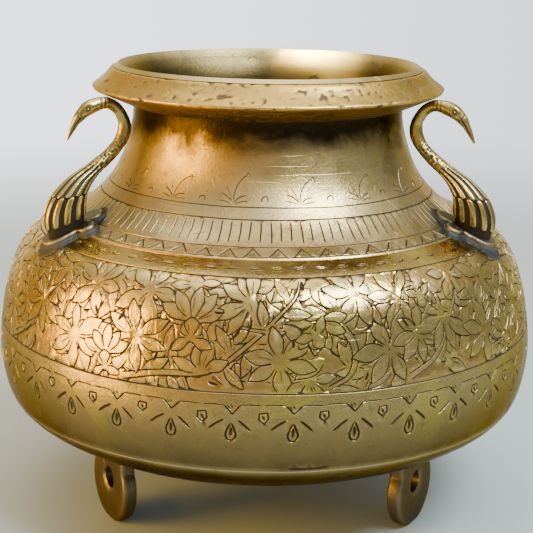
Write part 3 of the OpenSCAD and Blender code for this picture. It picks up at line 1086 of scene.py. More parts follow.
def swan_relief(s, a, place):
    """How far the casting is sunk, in mm, and how dark the hollow is. s counts rings, a goes round."""
    scallop = 2.72 + 0.16 * abs(math.sin(RIBS * a / 2))
    shift = 0.0 if s < scallop else math.pi / 2
    ridge = abs(math.sin(RIBS * a / 2 + shift))
    lower = 1 - step_between(scallop - 0.04, scallop + 0.02, s)
    upper = step_between(scallop, scallop + 0.12, s) * (1 - step_between(4.6, 5.6, s))
    rib_top = 1 - step_between(0.42, 0.84, ridge)
    if s < scallop:
        rib_top = max(rib_top, 1 - step_between(0.0, 0.22, s - 0.8 + 0.4 * ridge))
    sunk = lower * (0.95 * rib_top * min(1, 0.35 + 0.4 * s)) + upper * 0.55 * rib_top
    seam = math.exp(-((s - scallop) / 0.07) ** 2)
    sunk += 0.45 * seam
    dark = min(1.0, 1.1 * (lower + upper) * rib_top + seam)
    rough = step_between(4.4, 5.2, s) * (1 - step_between(7.3, 8.3, s))
    nick = max(0.0, noise.noise(Vector((place.x, place.y, place.z * 0.6)) * 1.5) + 0.1) * rough
    sunk += 0.4 * nick
    dark = max(dark, min(1.0, 1.0 * nick))
    back = step_between(0.2, 1.0, -math.cos(a)) * step_between(4.6, 7.5, s)
    back *= 1 - step_between(11.2, 12.4, s)
    dark = max(dark, back * (0.5 + 0.3 * noise.noise(place * 0.3)))
    ring = math.exp(-((s - 12.25) / 0.09) ** 2) + math.exp(-((s - 12.6) / 0.08) ** 2)
    sunk += 0.18 * ring
    side = abs(math.sin(a))
    eye = math.exp(-((s - 14.05) / 0.3) ** 2 - ((abs(a) - 1.75) / 0.42) ** 2)
    ball = math.exp(-((s - 14.05) / 0.12) ** 2 - ((abs(a) - 1.75) / 0.17) ** 2)
    brow = math.exp(-((s - 14.1) / 0.55) ** 2 - ((abs(a) - 2.35) / 0.22) ** 2)
    bill = step_between(15.1, 15.5, s) * math.exp(-((side - 1) / 0.03) ** 2) * (1 - step_between(17.2, 18, s))
    cheek = math.exp(-((s - 15.15) / 0.12) ** 2)
    sunk += 0.5 * eye - 0.42 * ball - 0.22 * brow + 0.12 * bill + 0.14 * cheek
    dark = max(dark, 0.9 * (eye - ball), 0.8 * bill, 0.35 * ring, 0.5 * cheek)
    sunk += 0.05 * noise.noise(place * 0.5)
    return sunk, max(0.0, min(1.0, dark))


print("swan: %d rings, %d ribs, standing at %s" % (len(SWAN_RINGS), RIBS, sorted(SWAN_ANGLES.values())))


# %% Loft the swan in three places
def build_swan(name, degrees):
    rings = np.array(SWAN_RINGS, float)
    rings = np.concatenate([[2 * rings[0] - rings[1]], rings, [2 * rings[-1] - rings[-2]]])
    swan_line = smooth_line(rings, SWAN_STEPS)
    turn_by = math.radians(degrees)
    c, sn = math.cos(turn_by), math.sin(turn_by)
    points, cavity = [], []
    offset = Vector((degrees, 0, 0))
    for index, (ri, zi, ro, zo, half) in enumerate(swan_line):
        centre = Vector(((ri + ro) / 2, 0, (zi + zo) / 2))
        s = index / SWAN_STEPS
        grow = 1 + 0.17 * step_between(4.5, 6.5, s) + 0.06 * step_between(11.5, 12.8, s)
        grow += 0.4 * step_between(14.6, 16.2, s)
        half *= grow
        outward = Vector(((ro - ri) / 2, 0, (zo - zi) / 2)) * grow
        reach = outward.length
        for k in range(SWAN_AROUND):
            a = 2 * math.pi * k / SWAN_AROUND
            a = a if a <= math.pi else a - 2 * math.pi
            place = centre + outward * math.cos(a) + Vector((0, half * math.sin(a), 0))
            sunk, dark = swan_relief(s, a, place + offset)
            inward = Vector((outward.x * math.cos(a) / reach ** 2, math.sin(a) / half,
                             outward.z * math.cos(a) / reach ** 2))
            place -= inward.normalized() * min(sunk, 0.7 * half)
            points.append(((place.x * c - place.y * sn) * MM, (place.x * sn + place.y * c) * MM,
                           place.z * MM))
            cavity.append(dark)
    count = len(swan_line)
    faces = [(i * SWAN_AROUND + k, i * SWAN_AROUND + (k + 1) % SWAN_AROUND,
              (i + 1) * SWAN_AROUND + (k + 1) % SWAN_AROUND, (i + 1) * SWAN_AROUND + k)
             for i in range(count - 1) for k in range(SWAN_AROUND)]
    for ring in (0, count - 1):
        loop = [ring * SWAN_AROUND + k for k in range(SWAN_AROUND)]
        middle = len(points)
        points.append(tuple(np.mean([points[i] for i in loop], axis=0)))
        cavity.append(0.0)
        faces += [(loop[k], loop[(k + 1) % SWAN_AROUND], middle) for k in range(SWAN_AROUND)]
    return closed_piece(name, points, faces, cavity, 60)


swans = {side: build_swan("swan_%s_cast" % side, degrees) for side, degrees in SWAN_ANGLES.items()}

# %% [markdown]
# ## Handle plates and solder
# Under each swan is a cast plate shaped like a leaf with two ears. Soft solder holds it to the
# shoulder and has run out all round. The plate's outline is the outside of a few circles. The
# solder is a lumpy skirt that goes from the plate's edge down to the pot.

# %% Plate outline and local frame
PLATE_CIRCLES = [(6, 0, 6.2), (3, 0, 6.2), (0, 0, 6.2), (-8.1, 0, 4.1),
                 (-2.6, 6.6, 3.3), (-2.6, -6.6, 3.3)]
PLATE_AT = (77.2, 112.6)
PLATE_SLOPE = math.radians(24.2)


def plate_radius(angle):
    """Furthest point of the plate from its middle in one direction."""
    far = 0.0
    for x, y, r in PLATE_CIRCLES:
        along = x * math.cos(angle) + y * math.sin(angle)
        across = abs(-x * math.sin(angle) + y * math.cos(angle))
        if across < r:
            far = max(far, along + math.sqrt(r * r - across * across))
    return far


def plate_place(x, y, z, degrees):
    """A point of the plate's own frame in the pot's frame, in mm. x runs down the slope."""
    radial = PLATE_AT[0] + x * math.cos(PLATE_SLOPE) + z * math.sin(PLATE_SLOPE)
    height = PLATE_AT[1] - x * math.sin(PLATE_SLOPE) + z * math.cos(PLATE_SLOPE)
    c, s = math.cos(math.radians(degrees)), math.sin(math.radians(degrees))
    return Vector((radial * c - y * s, radial * s + y * c, height))


upper_half = outline[np.argmax(outline[:, 0]):]
upper_half = upper_half[:np.argmin(upper_half[:, 0])][::-1]


def shoulder_height(radius):
    """Height of the pot's shoulder and neck at a radius, in mm."""
    return float(np.interp(radius, upper_half[:, 0], upper_half[:, 1]))


def loops_to_piece(name, loops, sharp_degrees, caps=True):
    """Joins loops of the same count into a closed piece. Loops are lists of points in mm."""
    n = len(loops[0])
    points = [tuple(p * MM) for loop in loops for p in loop]
    last = len(loops) if not caps else len(loops) - 1
    faces = [(i * n + k, i * n + (k + 1) % n, (i + 1) % len(loops) * n + (k + 1) % n,
              (i + 1) % len(loops) * n + k)
             for i in range(last) for k in range(n)]
    dark = [0.0] * len(points)
    if caps:
        for i in (0, len(loops) - 1):
            middle = len(points)
            points.append(tuple(np.mean(points[i * n:(i + 1) * n], axis=0)))
            dark.append(0.0)
            faces += [(i * n + k, i * n + (k + 1) % n, middle) for k in range(n)]
    return closed_piece(name, points, faces, dark, sharp_degrees)


print("plate reaches %.1f mm down the slope" % plate_radius(0))

# %% Build plates
PLATE_SIDES = 160
angles = [2 * math.pi * k / PLATE_SIDES for k in range(PLATE_SIDES)]
plate_edge = np.array([plate_radius(a) for a in angles])
plate_edge = 0.25 * np.roll(plate_edge, 1) + 0.5 * plate_edge + 0.25 * np.roll(plate_edge, -1)
PLATE_PROFILE = [(0.2, -2.5), (0.0, -2.2), (-0.05, -1.4), (0.0, -0.7), (0.2, -0.28), (0.55, -0.06),
                 (1.0, 0.03), (1.7, 0.0), (2.6, -0.08)]
PLATE_FLAT = -0.08
HOLE_R = 0.9


def build_plate(side, degrees):
    loops = []
    for inset, z in PLATE_PROFILE:
        loop = []
        for r, a in zip(plate_edge, angles):
            uneven = noise.noise(Vector((r * math.cos(a), r * math.sin(a), z + degrees)) * 0.45)
            x, y = (r - inset) * math.cos(a), (r - inset) * math.sin(a)
            loop.append(plate_place(x, y, z + 0.12 * uneven, degrees))
        loops.append(loop)
    innermost = PLATE_PROFILE[-1][0]
    for share in (0.72, 0.45, 0.2):
        reaches = [(r - innermost) * share for r in plate_edge]
        loops.append([plate_place(r * math.cos(a), r * math.sin(a), PLATE_FLAT, degrees)
                      for r, a in zip(reaches, angles)])
    plate = loops_to_piece("plate_%s_cast" % side, loops, 50)
    for ear in (-1, 1):
        bpy.ops.mesh.primitive_cylinder_add(vertices=20, radius=HOLE_R * MM, depth=8 * MM)
        drill = bpy.context.object
        ear_middle = Matrix.Translation(plate_place(-2.8, ear * 7.2, -1.2, degrees) * MM)
        round_pot = Matrix.Rotation(math.radians(degrees), 4, "Z")
        drill.matrix_world = ear_middle @ round_pot @ Matrix.Rotation(PLATE_SLOPE, 4, "Y")
        cut = plate.modifiers.new("hole", "BOOLEAN")
        cut.object = drill
        cut.solver = "EXACT"
        bpy.context.view_layer.update()
        drilled = plate.evaluated_get(bpy.context.evaluated_depsgraph_get())
        mesh = bpy.data.meshes.new_from_object(drilled)
        plate.modifiers.remove(cut)
        bpy.data.objects.remove(drill)
        plate.data = mesh
    return plate


plates = {side: build_plate(side, degrees) for side, degrees in SWAN_ANGLES.items()}

# %% Build the solder
# Each step is how far out it lies, how far down it has come to the pot, and its height there.
SOLDER_PROFILE = [
    (-0.9, 0.0, -1.9), (0.1, 0.0, -1.25), (0.4, 0.35, 0.55), (0.62, 0.68, 0.4),
    (0.85, 0.9, 0.22), (1.0, 1.0, 0.03), (0.95, 1.0, -0.7), (-0.9, 1.0, -0.7)]


def build_solder(side, degrees):
    loops = []
    for r, a in zip(plate_edge, angles):
        lump = noise.noise(Vector((r * math.cos(a) * 0.22, r * math.sin(a) * 0.22, degrees)))
        fine = noise.noise(Vector((r * math.cos(a) * 0.7, r * math.sin(a) * 0.7, degrees + 9)))
        reach = 1.6 + 0.9 * lump + 0.4 * fine
        loop = []
        for out, share, lift in SOLDER_PROFILE:
            distance = r + (out * reach if out > 0 else out)
            top = plate_place(distance * math.cos(a), distance * math.sin(a), -1.2, degrees)
            flat_radius = math.hypot(top.x, top.y)
            ground = Vector((top.x, top.y, shoulder_height(flat_radius)))
            place = top.lerp(ground, share)
            if share > 0:
                place.z += lift * (1 + 0.5 * fine) if lift > 0.1 else lift
            else:
                place = plate_place(distance * math.cos(a), distance * math.sin(a), lift, degrees)
            loop.append(place)
        loops.append(loop)
    return loops_to_piece("solder_%s_run" % side, loops, 70, caps=False)


solders = {side: build_solder(side, degrees) for side, degrees in SWAN_ANGLES.items()}

# %% [markdown]
# ## Feet and braze
# Three cast loops stand under the pot. Each is a thick disc with an eye, flat where it stands, and
# braze fills the joint with the bottom. The disc is swept round its eye, so the eye is really open.

# %% Build feet and braze
FOOT_ANGLES = {"left": 210.0, "right": 330.0, "back": 90.0}
FOOT_AT = 63.0
FOOT_R = 14.5
FOOT_HALF = 2.75
FOOT_MIDDLE = math.sqrt(FOOT_R ** 2 - 3.6 ** 2)
EYE_R = 4.0
FOOT_SHOULDER = 12.5
EYE_HEIGHT = 16.2
# From one face to the other: the share of the way from eye to rim, and the share of half the width.
FOOT_PROFILE = [
    (0, -0.72), (0, 0), (0, 0.72), (0.06, 0.93), (0.16, 1), (0.5, 1.03), (0.84, 1), (0.93, 0.93),
    (0.985, 0.75), (1, 0.4), (1, -0.4), (0.985, -0.75), (0.93, -0.93), (0.84, -1), (0.5, -1.03),
    (0.16, -1), (0.06, -0.93)]
FOOT_STEPS = 120
lower_half = outline[:np.argmax(outline[:, 0]) + 1]


def bottom_height(radius):
    return float(np.interp(radius, lower_half[:, 0], lower_half[:, 1]))


def foot_place(x, y, z, degrees):
    """x along the disc, y outwards, z up, in mm."""
    c, s = math.cos(math.radians(degrees)), math.sin(math.radians(degrees))
    radial = FOOT_AT + y
    return Vector((radial * c - x * s, radial * s + x * c, z))


def foot_reach(angle, rim):
    """From the eye's middle to the disc's rim, stopped by the ground and by the pot."""
    dx, dz = math.cos(angle), math.sin(angle)
    h = EYE_HEIGHT - FOOT_MIDDLE
    b = dz * h
    reach = -b + math.sqrt(b * b - h * h + rim * rim)
    if dz < 0:
        return min(reach, EYE_HEIGHT / -dz)
    if abs(dx) * reach < FOOT_SHOULDER:
        reach = max(reach, FOOT_SHOULDER / max(abs(dx), 0.05))
    return min(reach, (bottom_height(FOOT_AT) + 0.7 - EYE_HEIGHT) / max(dz, 0.01))


def build_foot(side, degrees):
    loops = []
    for k in range(FOOT_STEPS):
        a = 2 * math.pi * k / FOOT_STEPS
        reach = foot_reach(a, FOOT_R)
        loop = []
        for share, y in FOOT_PROFILE:
            d = EYE_R + (reach - EYE_R) * share
            rub = noise.noise(Vector((d * math.cos(a), y * 3, d * math.sin(a) + degrees)) * 0.35)
            z = max(0.0, EYE_HEIGHT + d * math.sin(a) + (0.12 * rub if share < 1 else 0))
            loop.append(foot_place(d * math.cos(a), y * FOOT_HALF * (1 + 0.045 * rub), z, degrees))
        loops.append(loop)
    return loops_to_piece("foot_%s_cast" % side, loops, 45, caps=False)


feet = {side: build_foot(side, degrees) for side, degrees in FOOT_ANGLES.items()}

# %% Build the braze
# A rounded box shape, wide along the foot. It shrinks as it goes down from the bottom of the pot.
BRAZE_PROFILE = [(1.0, 0.55), (1.02, 0.25), (1.0, -0.15), (0.9, -0.7), (0.75, -1.1), (0.5, -1.25),
                 (0.2, -1.3)]
BRAZE_HALF_LONG = 13.5
BRAZE_HALF_WIDE = 4.2
BRAZE_SQUARE = 0.55
BRAZE_STEPS = 72


def build_braze(side, degrees):
    loops = []
    for share, drop in BRAZE_PROFILE:
        loop = []
        for k in range(BRAZE_STEPS):
            a = 2 * math.pi * k / BRAZE_STEPS
            x = BRAZE_HALF_LONG * math.copysign(abs(math.cos(a)) ** BRAZE_SQUARE, math.cos(a)) * share
            y = BRAZE_HALF_WIDE * math.copysign(abs(math.sin(a)) ** BRAZE_SQUARE, math.sin(a)) * share
            lump = noise.noise(Vector((x, y, degrees)) * 0.3)
            place = foot_place(x * (1 + 0.05 * lump), y * (1 + 0.12 * lump), 0, degrees)
            fall = drop * (1 + 0.5 * lump if drop < 0 else 1)
            place.z = bottom_height(math.hypot(place.x, place.y)) + fall
            loop.append(place)
        loops.append(loop)
    return loops_to_piece("braze_%s_fillet" % side, loops, 60)


brazes = {side: build_braze(side, degrees) for side, degrees in FOOT_ANGLES.items()}

# %% [markdown]
# ## Old brass
# Nothing on this pot is one colour. Cuts hold black polish, sunk ground has gone coppery, broad
# patches are more olive or more brown, and where hands reach the metal is pale and smooth. The
# patches, the fine scratches and the pits are shared by every finish, so each is a node group
# that only puts out masks. Each metal's own colours and its shader stay in its material.

# %% Node groups for patches, scratches and pits
SCRATCH_DEPTH = 0.05
PIT_DEPTH = 0.09
GRAIN_DEPTH = 0.034


def shader_group(name, inputs, outputs):
    group = bpy.data.node_groups.new(name, "ShaderNodeTree")
    for label, kind, value in inputs:
        socket = group.interface.new_socket(label, in_out="INPUT", socket_type="NodeSocket" + kind)
        if value is not None:
            socket.default_value = value
    for label, kind in outputs:
        group.interface.new_socket(label, in_out="OUTPUT", socket_type="NodeSocket" + kind)
    return group, group.nodes.new("NodeGroupInput"), group.nodes.new("NodeGroupOutput")


def noise_mask(tree, place, scale, low, high, detail=4.0, roughness=0.6, distortion=0.0):
    """Noise stretched so that it runs from 0 at low to 1 at high."""
    clouds = add_node(tree, "ShaderNodeTexNoise", [
        ("Vector", place), ("Scale", scale), ("Detail", detail), ("Roughness", roughness),
        ("Distortion", distortion)])
    spread = add_node(tree, "ShaderNodeMapRange", [("Value", clouds.outputs["Fac"]), ("From Min", low),
                                                   ("From Max", high)])
    return spread.outputs[0]


def math_node(tree, operation, a, b=None, clamp=False):
    links = [(0, a)] + ([(1, b)] if b is not None else [])
    return add_node(tree, "ShaderNodeMath", links, operation=operation, use_clamp=clamp).outputs[0]


def build_patches():
    group, start, end = shader_group("patches", [("Place", "Vector", None), ("Shift", "Float", 0.0)],
                                     [("Broad", "Float"), ("Cloudy", "Float"), ("Spots", "Float"),
                                      ("Film", "Float"), ("Flaked", "Float")])
    shift = add_node(group, "ShaderNodeCombineXYZ", [("X", start.outputs["Shift"])])
    place = add_node(group, "ShaderNodeVectorMath", [(0, start.outputs["Place"]), (1, shift.outputs[0])],
                     operation="ADD").outputs[0]
    group.links.new(noise_mask(group, place, 9.0, 0.36, 0.64, 3.0), end.inputs["Broad"])
    group.links.new(noise_mask(group, place, 42.0, 0.38, 0.66, 5.0, 0.65, 0.4), end.inputs["Cloudy"])
    group.links.new(noise_mask(group, place, 240.0, 0.6, 0.72, 3.0, 0.6), end.inputs["Spots"])
    group.links.new(noise_mask(group, place, 85.0, 0.42, 0.7, 6.0, 0.7, 0.8), end.inputs["Film"])
    group.links.new(noise_mask(group, place, 38.0, 0.55, 0.58, 5.0, 0.6, 1.0), end.inputs["Flaked"])
    return group


def build_wear():
    """Fine scratches in two directions round the pot, and pits. Height is in millimetres."""
    group, start, end = shader_group("wear", [("Place", "Vector", None), ("Scratches", "Float", 0.5),
                                              ("Pits", "Float", 0.5)],
                                     [("Height", "Float"), ("Scratch", "Float"), ("Pit", "Float"),
                                      ("Grain", "Float")])
    marks = []
    for turn_by, stretch in ((0.35, (30, 30, 900)), (-0.6, (500, 40, 120)), (1.2, (60, 700, 90))):
        turned = add_node(group, "ShaderNodeMapping", [
            ("Vector", start.outputs["Place"]), ("Rotation", (0.2, turn_by, turn_by * 2)),
            ("Scale", stretch)])
        marks.append(noise_mask(group, turned.outputs[0], 1.0, 0.66, 0.74, 2.0, 0.5, 0.2))
    scratch = math_node(group, "MAXIMUM", math_node(group, "MAXIMUM", marks[0], marks[1]), marks[2])
    scratch = math_node(group, "MULTIPLY", scratch, start.outputs["Scratches"])
    cells = add_node(group, "ShaderNodeTexVoronoi", [("Vector", start.outputs["Place"]), ("Scale", 700.0),
                                                     ("Randomness", 1.0)])
    hole = add_node(group, "ShaderNodeMapRange", [
        ("Value", cells.outputs["Distance"]), ("From Min", 0.05), ("From Max", 0.32),
        ("To Min", 1.0), ("To Max", 0.0)])
    where = noise_mask(group, start.outputs["Place"], 160.0, 0.5, 0.66, 3.0)
    pit = math_node(group, "MULTIPLY", math_node(group, "MULTIPLY", hole.outputs[0], where),
                    start.outputs["Pits"])
    grain = noise_mask(group, start.outputs["Place"], 900.0, 0.3, 0.7, 3.0)
    sunk = math_node(group, "ADD", math_node(group, "MULTIPLY", scratch, SCRATCH_DEPTH),
                     math_node(group, "MULTIPLY", pit, PIT_DEPTH))
    height = math_node(group, "SUBTRACT", math_node(group, "MULTIPLY", grain, GRAIN_DEPTH), sunk)
    group.links.new(grain, end.inputs["Grain"])
    group.links.new(height, end.inputs["Height"])
    group.links.new(scratch, end.inputs["Scratch"])
    group.links.new(pit, end.inputs["Pit"])
    return group


patches_group = build_patches()
wear_group = build_wear()
print("masks:", [socket.name for group in (patches_group, wear_group)
                 for socket in group.interface.items_tree if socket.in_out == "OUTPUT"])


# %% One recipe for every metal on the pot
def mix(tree, mask, a, b):
    """Colour a where the mask is 0 and colour b where it is 1."""
    node = add_node(tree, "ShaderNodeMix", data_type="RGBA")
    for socket, value in ((node.inputs[0], mask), (node.inputs[6], a), (node.inputs[7], b)):
        if isinstance(value, bpy.types.NodeSocket):
            tree.links.new(value, socket)
        elif isinstance(value, tuple):
            socket.default_value = (*value, 1)
        else:
            socket.default_value = value
    return node.outputs[2]


def scaled(tree, mask, amount):
    return math_node(tree, "MULTIPLY", mask, amount, clamp=True)


REFLECTION_TINT = (0.64, 0.52, 0.35, 1)
COPPERY_GROUND = (0.42, 0.24, 0.08)
# The bright yellow of the inside is painted light.
PAINTED_LIGHT_INSIDE = (0.84, 0.66, 0.2)
BARE_FLAKE = (0.55, 0.44, 0.07)
GREY_BLOOM = (0.1, 0.105, 0.1)


def old_metal(name, clean, olive, brown, bright, cut, film=(0.3, 0.22, 0.12), roughness=(0.3, 0.5),
              scratches=0.6, pits=0.4, shift=0.0, film_amount=0.5, stained=False, metallic=1.0,
              darkening_bands=(), worn_edges=0.7, flakes=0.0):
    """A metal with patches, dark cuts, sunk ground, worn high edges, scratches and pits."""
    material = bpy.data.materials.new(name)
    material.use_nodes = True
    tree = material.node_tree
    shader = tree.nodes["Principled BSDF"]
    shader.inputs["Specular Tint"].default_value = REFLECTION_TINT
    place = add_node(tree, "ShaderNodeTexCoord").outputs["Object"]
    patches = add_node(tree, "ShaderNodeGroup", node_tree=patches_group)
    tree.links.new(place, patches.inputs["Place"])
    patches.inputs["Shift"].default_value = shift
    wear = add_node(tree, "ShaderNodeGroup", node_tree=wear_group)
    tree.links.new(place, wear.inputs["Place"])
    wear.inputs["Scratches"].default_value = scratches
    wear.inputs["Pits"].default_value = pits
    in_cut = add_node(tree, "ShaderNodeAttribute", attribute_name="cavity").outputs["Fac"]
    on_ground = add_node(tree, "ShaderNodeAttribute", attribute_name="ground").outputs["Fac"]
    colour = mix(tree, patches.outputs["Broad"], clean, olive)
    colour = mix(tree, scaled(tree, patches.outputs["Cloudy"], 0.6), colour, brown)
    colour = mix(tree, scaled(tree, wear.outputs["Grain"], 0.3), colour, brown)
    colour = mix(tree, scaled(tree, patches.outputs["Film"], film_amount), colour, film)
    colour = mix(tree, scaled(tree, patches.outputs["Flaked"], flakes), colour, BARE_FLAKE)
    # Inside the pot the colour is lifted towards a bright yellow: painted light falling into the mouth.
    painted_light_mask = add_node(tree, "ShaderNodeAttribute", attribute_name="inside").outputs["Fac"]
    colour = mix(tree, scaled(tree, painted_light_mask, 0.8), colour, PAINTED_LIGHT_INSIDE)
    colour = mix(tree, scaled(tree, on_ground, 0.5), colour, COPPERY_GROUND)
    if stained:
        near_solder = add_node(tree, "ShaderNodeAttribute", attribute_name="stain").outputs["Fac"]
        patchy = math_node(tree, "ADD", 0.55, scaled(tree, patches.outputs["Film"], 0.6))
        grey = math_node(tree, "MULTIPLY", near_solder, patchy, clamp=True)
        colour = mix(tree, grey, colour, GREY_BLOOM)
    # Each darkening band starts at one height and is full at another. On the pot and the neck these bands are
    # painted shade, and low on the belly also a painted dark reflection from below.
    for start_height, full_height, strength, tint in darkening_bands:
        height = add_node(tree, "ShaderNodeSeparateXYZ", [(0, place)]).outputs["Z"]
        wavy = math_node(tree, "ADD", height, math_node(tree, "MULTIPLY", patches.outputs["Cloudy"], 0.006))
        reach = add_node(tree, "ShaderNodeMapRange", [("Value", wavy), ("From Min", start_height),
                                                      ("From Max", full_height)],
                         interpolation_type="SMOOTHSTEP").outputs[0]
        colour = mix(tree, scaled(tree, reach, strength), colour, tint)
    rim = add_node(tree, "ShaderNodeNewGeometry").outputs["Pointiness"]
    worn = add_node(tree, "ShaderNodeMapRange",
                    [("Value", rim), ("From Min", 0.51), ("From Max", 0.58)]).outputs[0]
    colour = mix(tree, scaled(tree, worn, worn_edges), colour, bright)
    black = add_node(tree, "ShaderNodeMapRange",
                     [("Value", in_cut), ("From Min", 0.04), ("From Max", 0.5)]).outputs[0]
    colour = mix(tree, black, colour, cut)
    dirty = math_node(tree, "ADD", scaled(tree, patches.outputs["Spots"], 0.45),
                      scaled(tree, wear.outputs["Pit"], 0.9), clamp=True)
    colour = mix(tree, dirty, colour, cut)
    tree.links.new(colour, shader.inputs["Base Color"])
    rough = add_node(tree, "ShaderNodeMapRange",
                     [("Value", patches.outputs["Cloudy"]), ("To Min", roughness[0]),
                      ("To Max", roughness[1])]).outputs[0]
    rough = math_node(tree, "ADD", rough, math_node(tree, "MULTIPLY", wear.outputs["Scratch"], 0.12))
    rough = math_node(tree, "ADD", rough, math_node(tree, "MULTIPLY", black, 0.3), clamp=True)
    tree.links.new(rough, shader.inputs["Roughness"])
    clean_metal = math_node(tree, "SUBTRACT", metallic,
                            math_node(tree, "MULTIPLY", math_node(tree, "MAXIMUM", black, dirty), 0.6),
                            clamp=True)
    tree.links.new(clean_metal, shader.inputs["Metallic"])
    bump = add_node(tree, "ShaderNodeBump",
                    [("Strength", 1.0), ("Distance", MM), ("Height", wear.outputs["Height"])])
    tree.links.new(bump.outputs[0], shader.inputs["Normal"])
    return material


# %% [markdown]
# ### Eight finishes
# The belly is the cleanest, and darkens to almost black towards the bottom: painted shade and a painted dark
# reflection from below.
# The neck is browner and painted black just under the collar, as the collar's shade. The collar is redder,
# the swans yellower.
# Plates and feet are dull castings, and solder and braze never shone. The solder's near-black is dull solder
# and partly painted shade under the plates.

# %% Mix the finishes
# The two bands low on the pot are painted shade and a painted dark reflection from below.
pot_brass = old_metal(
    "pot_brass", clean=(0.59, 0.39, 0.11), olive=(0.45, 0.36, 0.135), brown=(0.35, 0.235, 0.09),
    bright=(0.88, 0.68, 0.32), cut=(0.04, 0.028, 0.016), film=(0.34, 0.27, 0.13),
    roughness=(0.18, 0.36), scratches=0.9, stained=True, worn_edges=0.5, flakes=0.5,
    darkening_bands=[(0.088, 0.05, 0.86, (0.095, 0.065, 0.028)), (0.057, 0.038, 0.94, (0.015, 0.012, 0.006))])
# The band at the top of the neck is painted shade under the collar.
neck_brass = old_metal(
    "neck_brass", clean=(0.51, 0.345, 0.115), olive=(0.38, 0.305, 0.14), brown=(0.31, 0.22, 0.11),
    bright=(0.85, 0.64, 0.27), cut=(0.035, 0.028, 0.02), film=(0.28, 0.22, 0.14),
    roughness=(0.26, 0.46), scratches=0.9, shift=0.3, stained=True, worn_edges=0.5,
    darkening_bands=[(0.14, 0.15, 0.96, (0.012, 0.007, 0.003))])
collar_brass = old_metal(
    "collar_brass", clean=(0.54, 0.33, 0.06), olive=(0.38, 0.265, 0.06), brown=(0.31, 0.18, 0.045),
    bright=(0.92, 0.66, 0.2), cut=(0.09, 0.055, 0.03), film=(0.36, 0.24, 0.09),
    roughness=(0.3, 0.48), pits=1.0, shift=0.7)
# The band on the swans darkens their lower bodies.
cast_brass = old_metal(
    "cast_brass", clean=(0.6, 0.45, 0.12), olive=(0.43, 0.35, 0.12), brown=(0.3, 0.2, 0.06),
    bright=(0.9, 0.74, 0.32), cut=(0.026, 0.021, 0.016), film=(0.24, 0.19, 0.085),
    roughness=(0.2, 0.38), pits=0.5, shift=1.1, film_amount=0.7,
    darkening_bands=[(0.116, 0.108, 0.7, (0.08, 0.06, 0.03))])
plate_brass = old_metal(
    "plate_brass", clean=(0.15, 0.135, 0.1), olive=(0.11, 0.11, 0.09), brown=(0.09, 0.075, 0.055),
    bright=(0.62, 0.43, 0.17), cut=(0.03, 0.027, 0.024), film=(0.08, 0.086, 0.084),
    roughness=(0.38, 0.58), shift=1.5)
# Solder is dull dark grey. Its near-black here is also painted shade, so that its skirt reads as the shade
# under each plate.
soft_solder = old_metal(
    "soft_solder", clean=(0.04, 0.046, 0.048), olive=(0.028, 0.034, 0.037), brown=(0.045, 0.037, 0.03),
    bright=(0.1, 0.105, 0.105), cut=(0.02, 0.02, 0.02), film=(0.024, 0.032, 0.036),
    roughness=(0.6, 0.85), pits=0.9, shift=1.9, metallic=0.6)
foot_brass = old_metal(
    "foot_brass", clean=(0.17, 0.12, 0.065), olive=(0.13, 0.1, 0.06), brown=(0.09, 0.066, 0.045),
    bright=(0.34, 0.25, 0.13), cut=(0.03, 0.026, 0.02), film=(0.11, 0.095, 0.07),
    roughness=(0.4, 0.6), pits=0.8, shift=2.3)
braze_metal = old_metal(
    "braze", clean=(0.12, 0.095, 0.045), olive=(0.09, 0.08, 0.045), brown=(0.07, 0.055, 0.035),
    bright=(0.24, 0.19, 0.1), cut=(0.02, 0.018, 0.015), film=(0.08, 0.07, 0.05),
    roughness=(0.45, 0.65), pits=1.0, shift=2.7)
print("finishes:", [material.name for material in bpy.data.materials])

# %% [markdown]
# ## Stains near the handles
# Soldering leaves a grey bloom on the brass. Each point of the belly and the neck knows how close
# it is to a handle plate.

# %% Measure the stain
STAIN_FULL = 10.5
STAIN_END = 21


def add_stain(piece):
    plate_middles = [plate_place(0, 0, 0, degrees) for degrees in SWAN_ANGLES.values()]
    values = []
    for vertex in piece.data.vertices:
        gap = min((vertex.co / MM - middle).length for middle in plate_middles)
        values.append(1 - step_between(STAIN_FULL, STAIN_END, gap + 3 * noise.noise(vertex.co * 90)))
    piece.data.attributes.new("stain", "FLOAT", "POINT").data.foreach_set("value", values)


bpy.data.objects.remove(outline_guide)
add_stain(belly)
add_stain(neck)
print("stain measured at", len(belly.data.vertices) + len(neck.data.vertices), "points")


def hand_over(piece, material, slot, *nodes):
    piece.data.materials.clear()
    piece.data.materials.append(material)
    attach(piece, "root")
    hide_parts(*nodes)
    print(piece.name, "stands in for", *nodes)


hand_over(base, pot_brass, "pot_brass", "base_pan")
hand_over(belly, pot_brass, "pot_brass", "belly_shell")
hand_over(neck, neck_brass, "neck_brass", "neck_shell")
hand_over(collar, collar_brass, "collar_brass", "rim_collar")
for side in SWAN_ANGLES:
    hand_over(swans[side], cast_brass, "cast_brass", "swan_" + side)
    hand_over(plates[side], plate_brass, "plate_brass", "plate_" + side)
    hand_over(solders[side], soft_solder, "soft_solder", "solder_" + side)
    hand_over(feet[side], foot_brass, "foot_brass", "foot_" + side)
    hand_over(brazes[side], braze_metal, "braze", "braze_" + side)

# %% [markdown]
# ## Floor and light
# A plain pale floor and soft light from large sources. Warm light comes from the left, as from a
# lit room, and cooler light from a window up on the right. Metal shows what surrounds it, so the
# world is a soft gradient: warm walls on the left, cool on the right, a pale ceiling and a bright
# backdrop behind the pot. A narrow lamp reaches into the mouth.

# %% Lay the floor
FADE_START = 0.34
FADE_END = 0.95


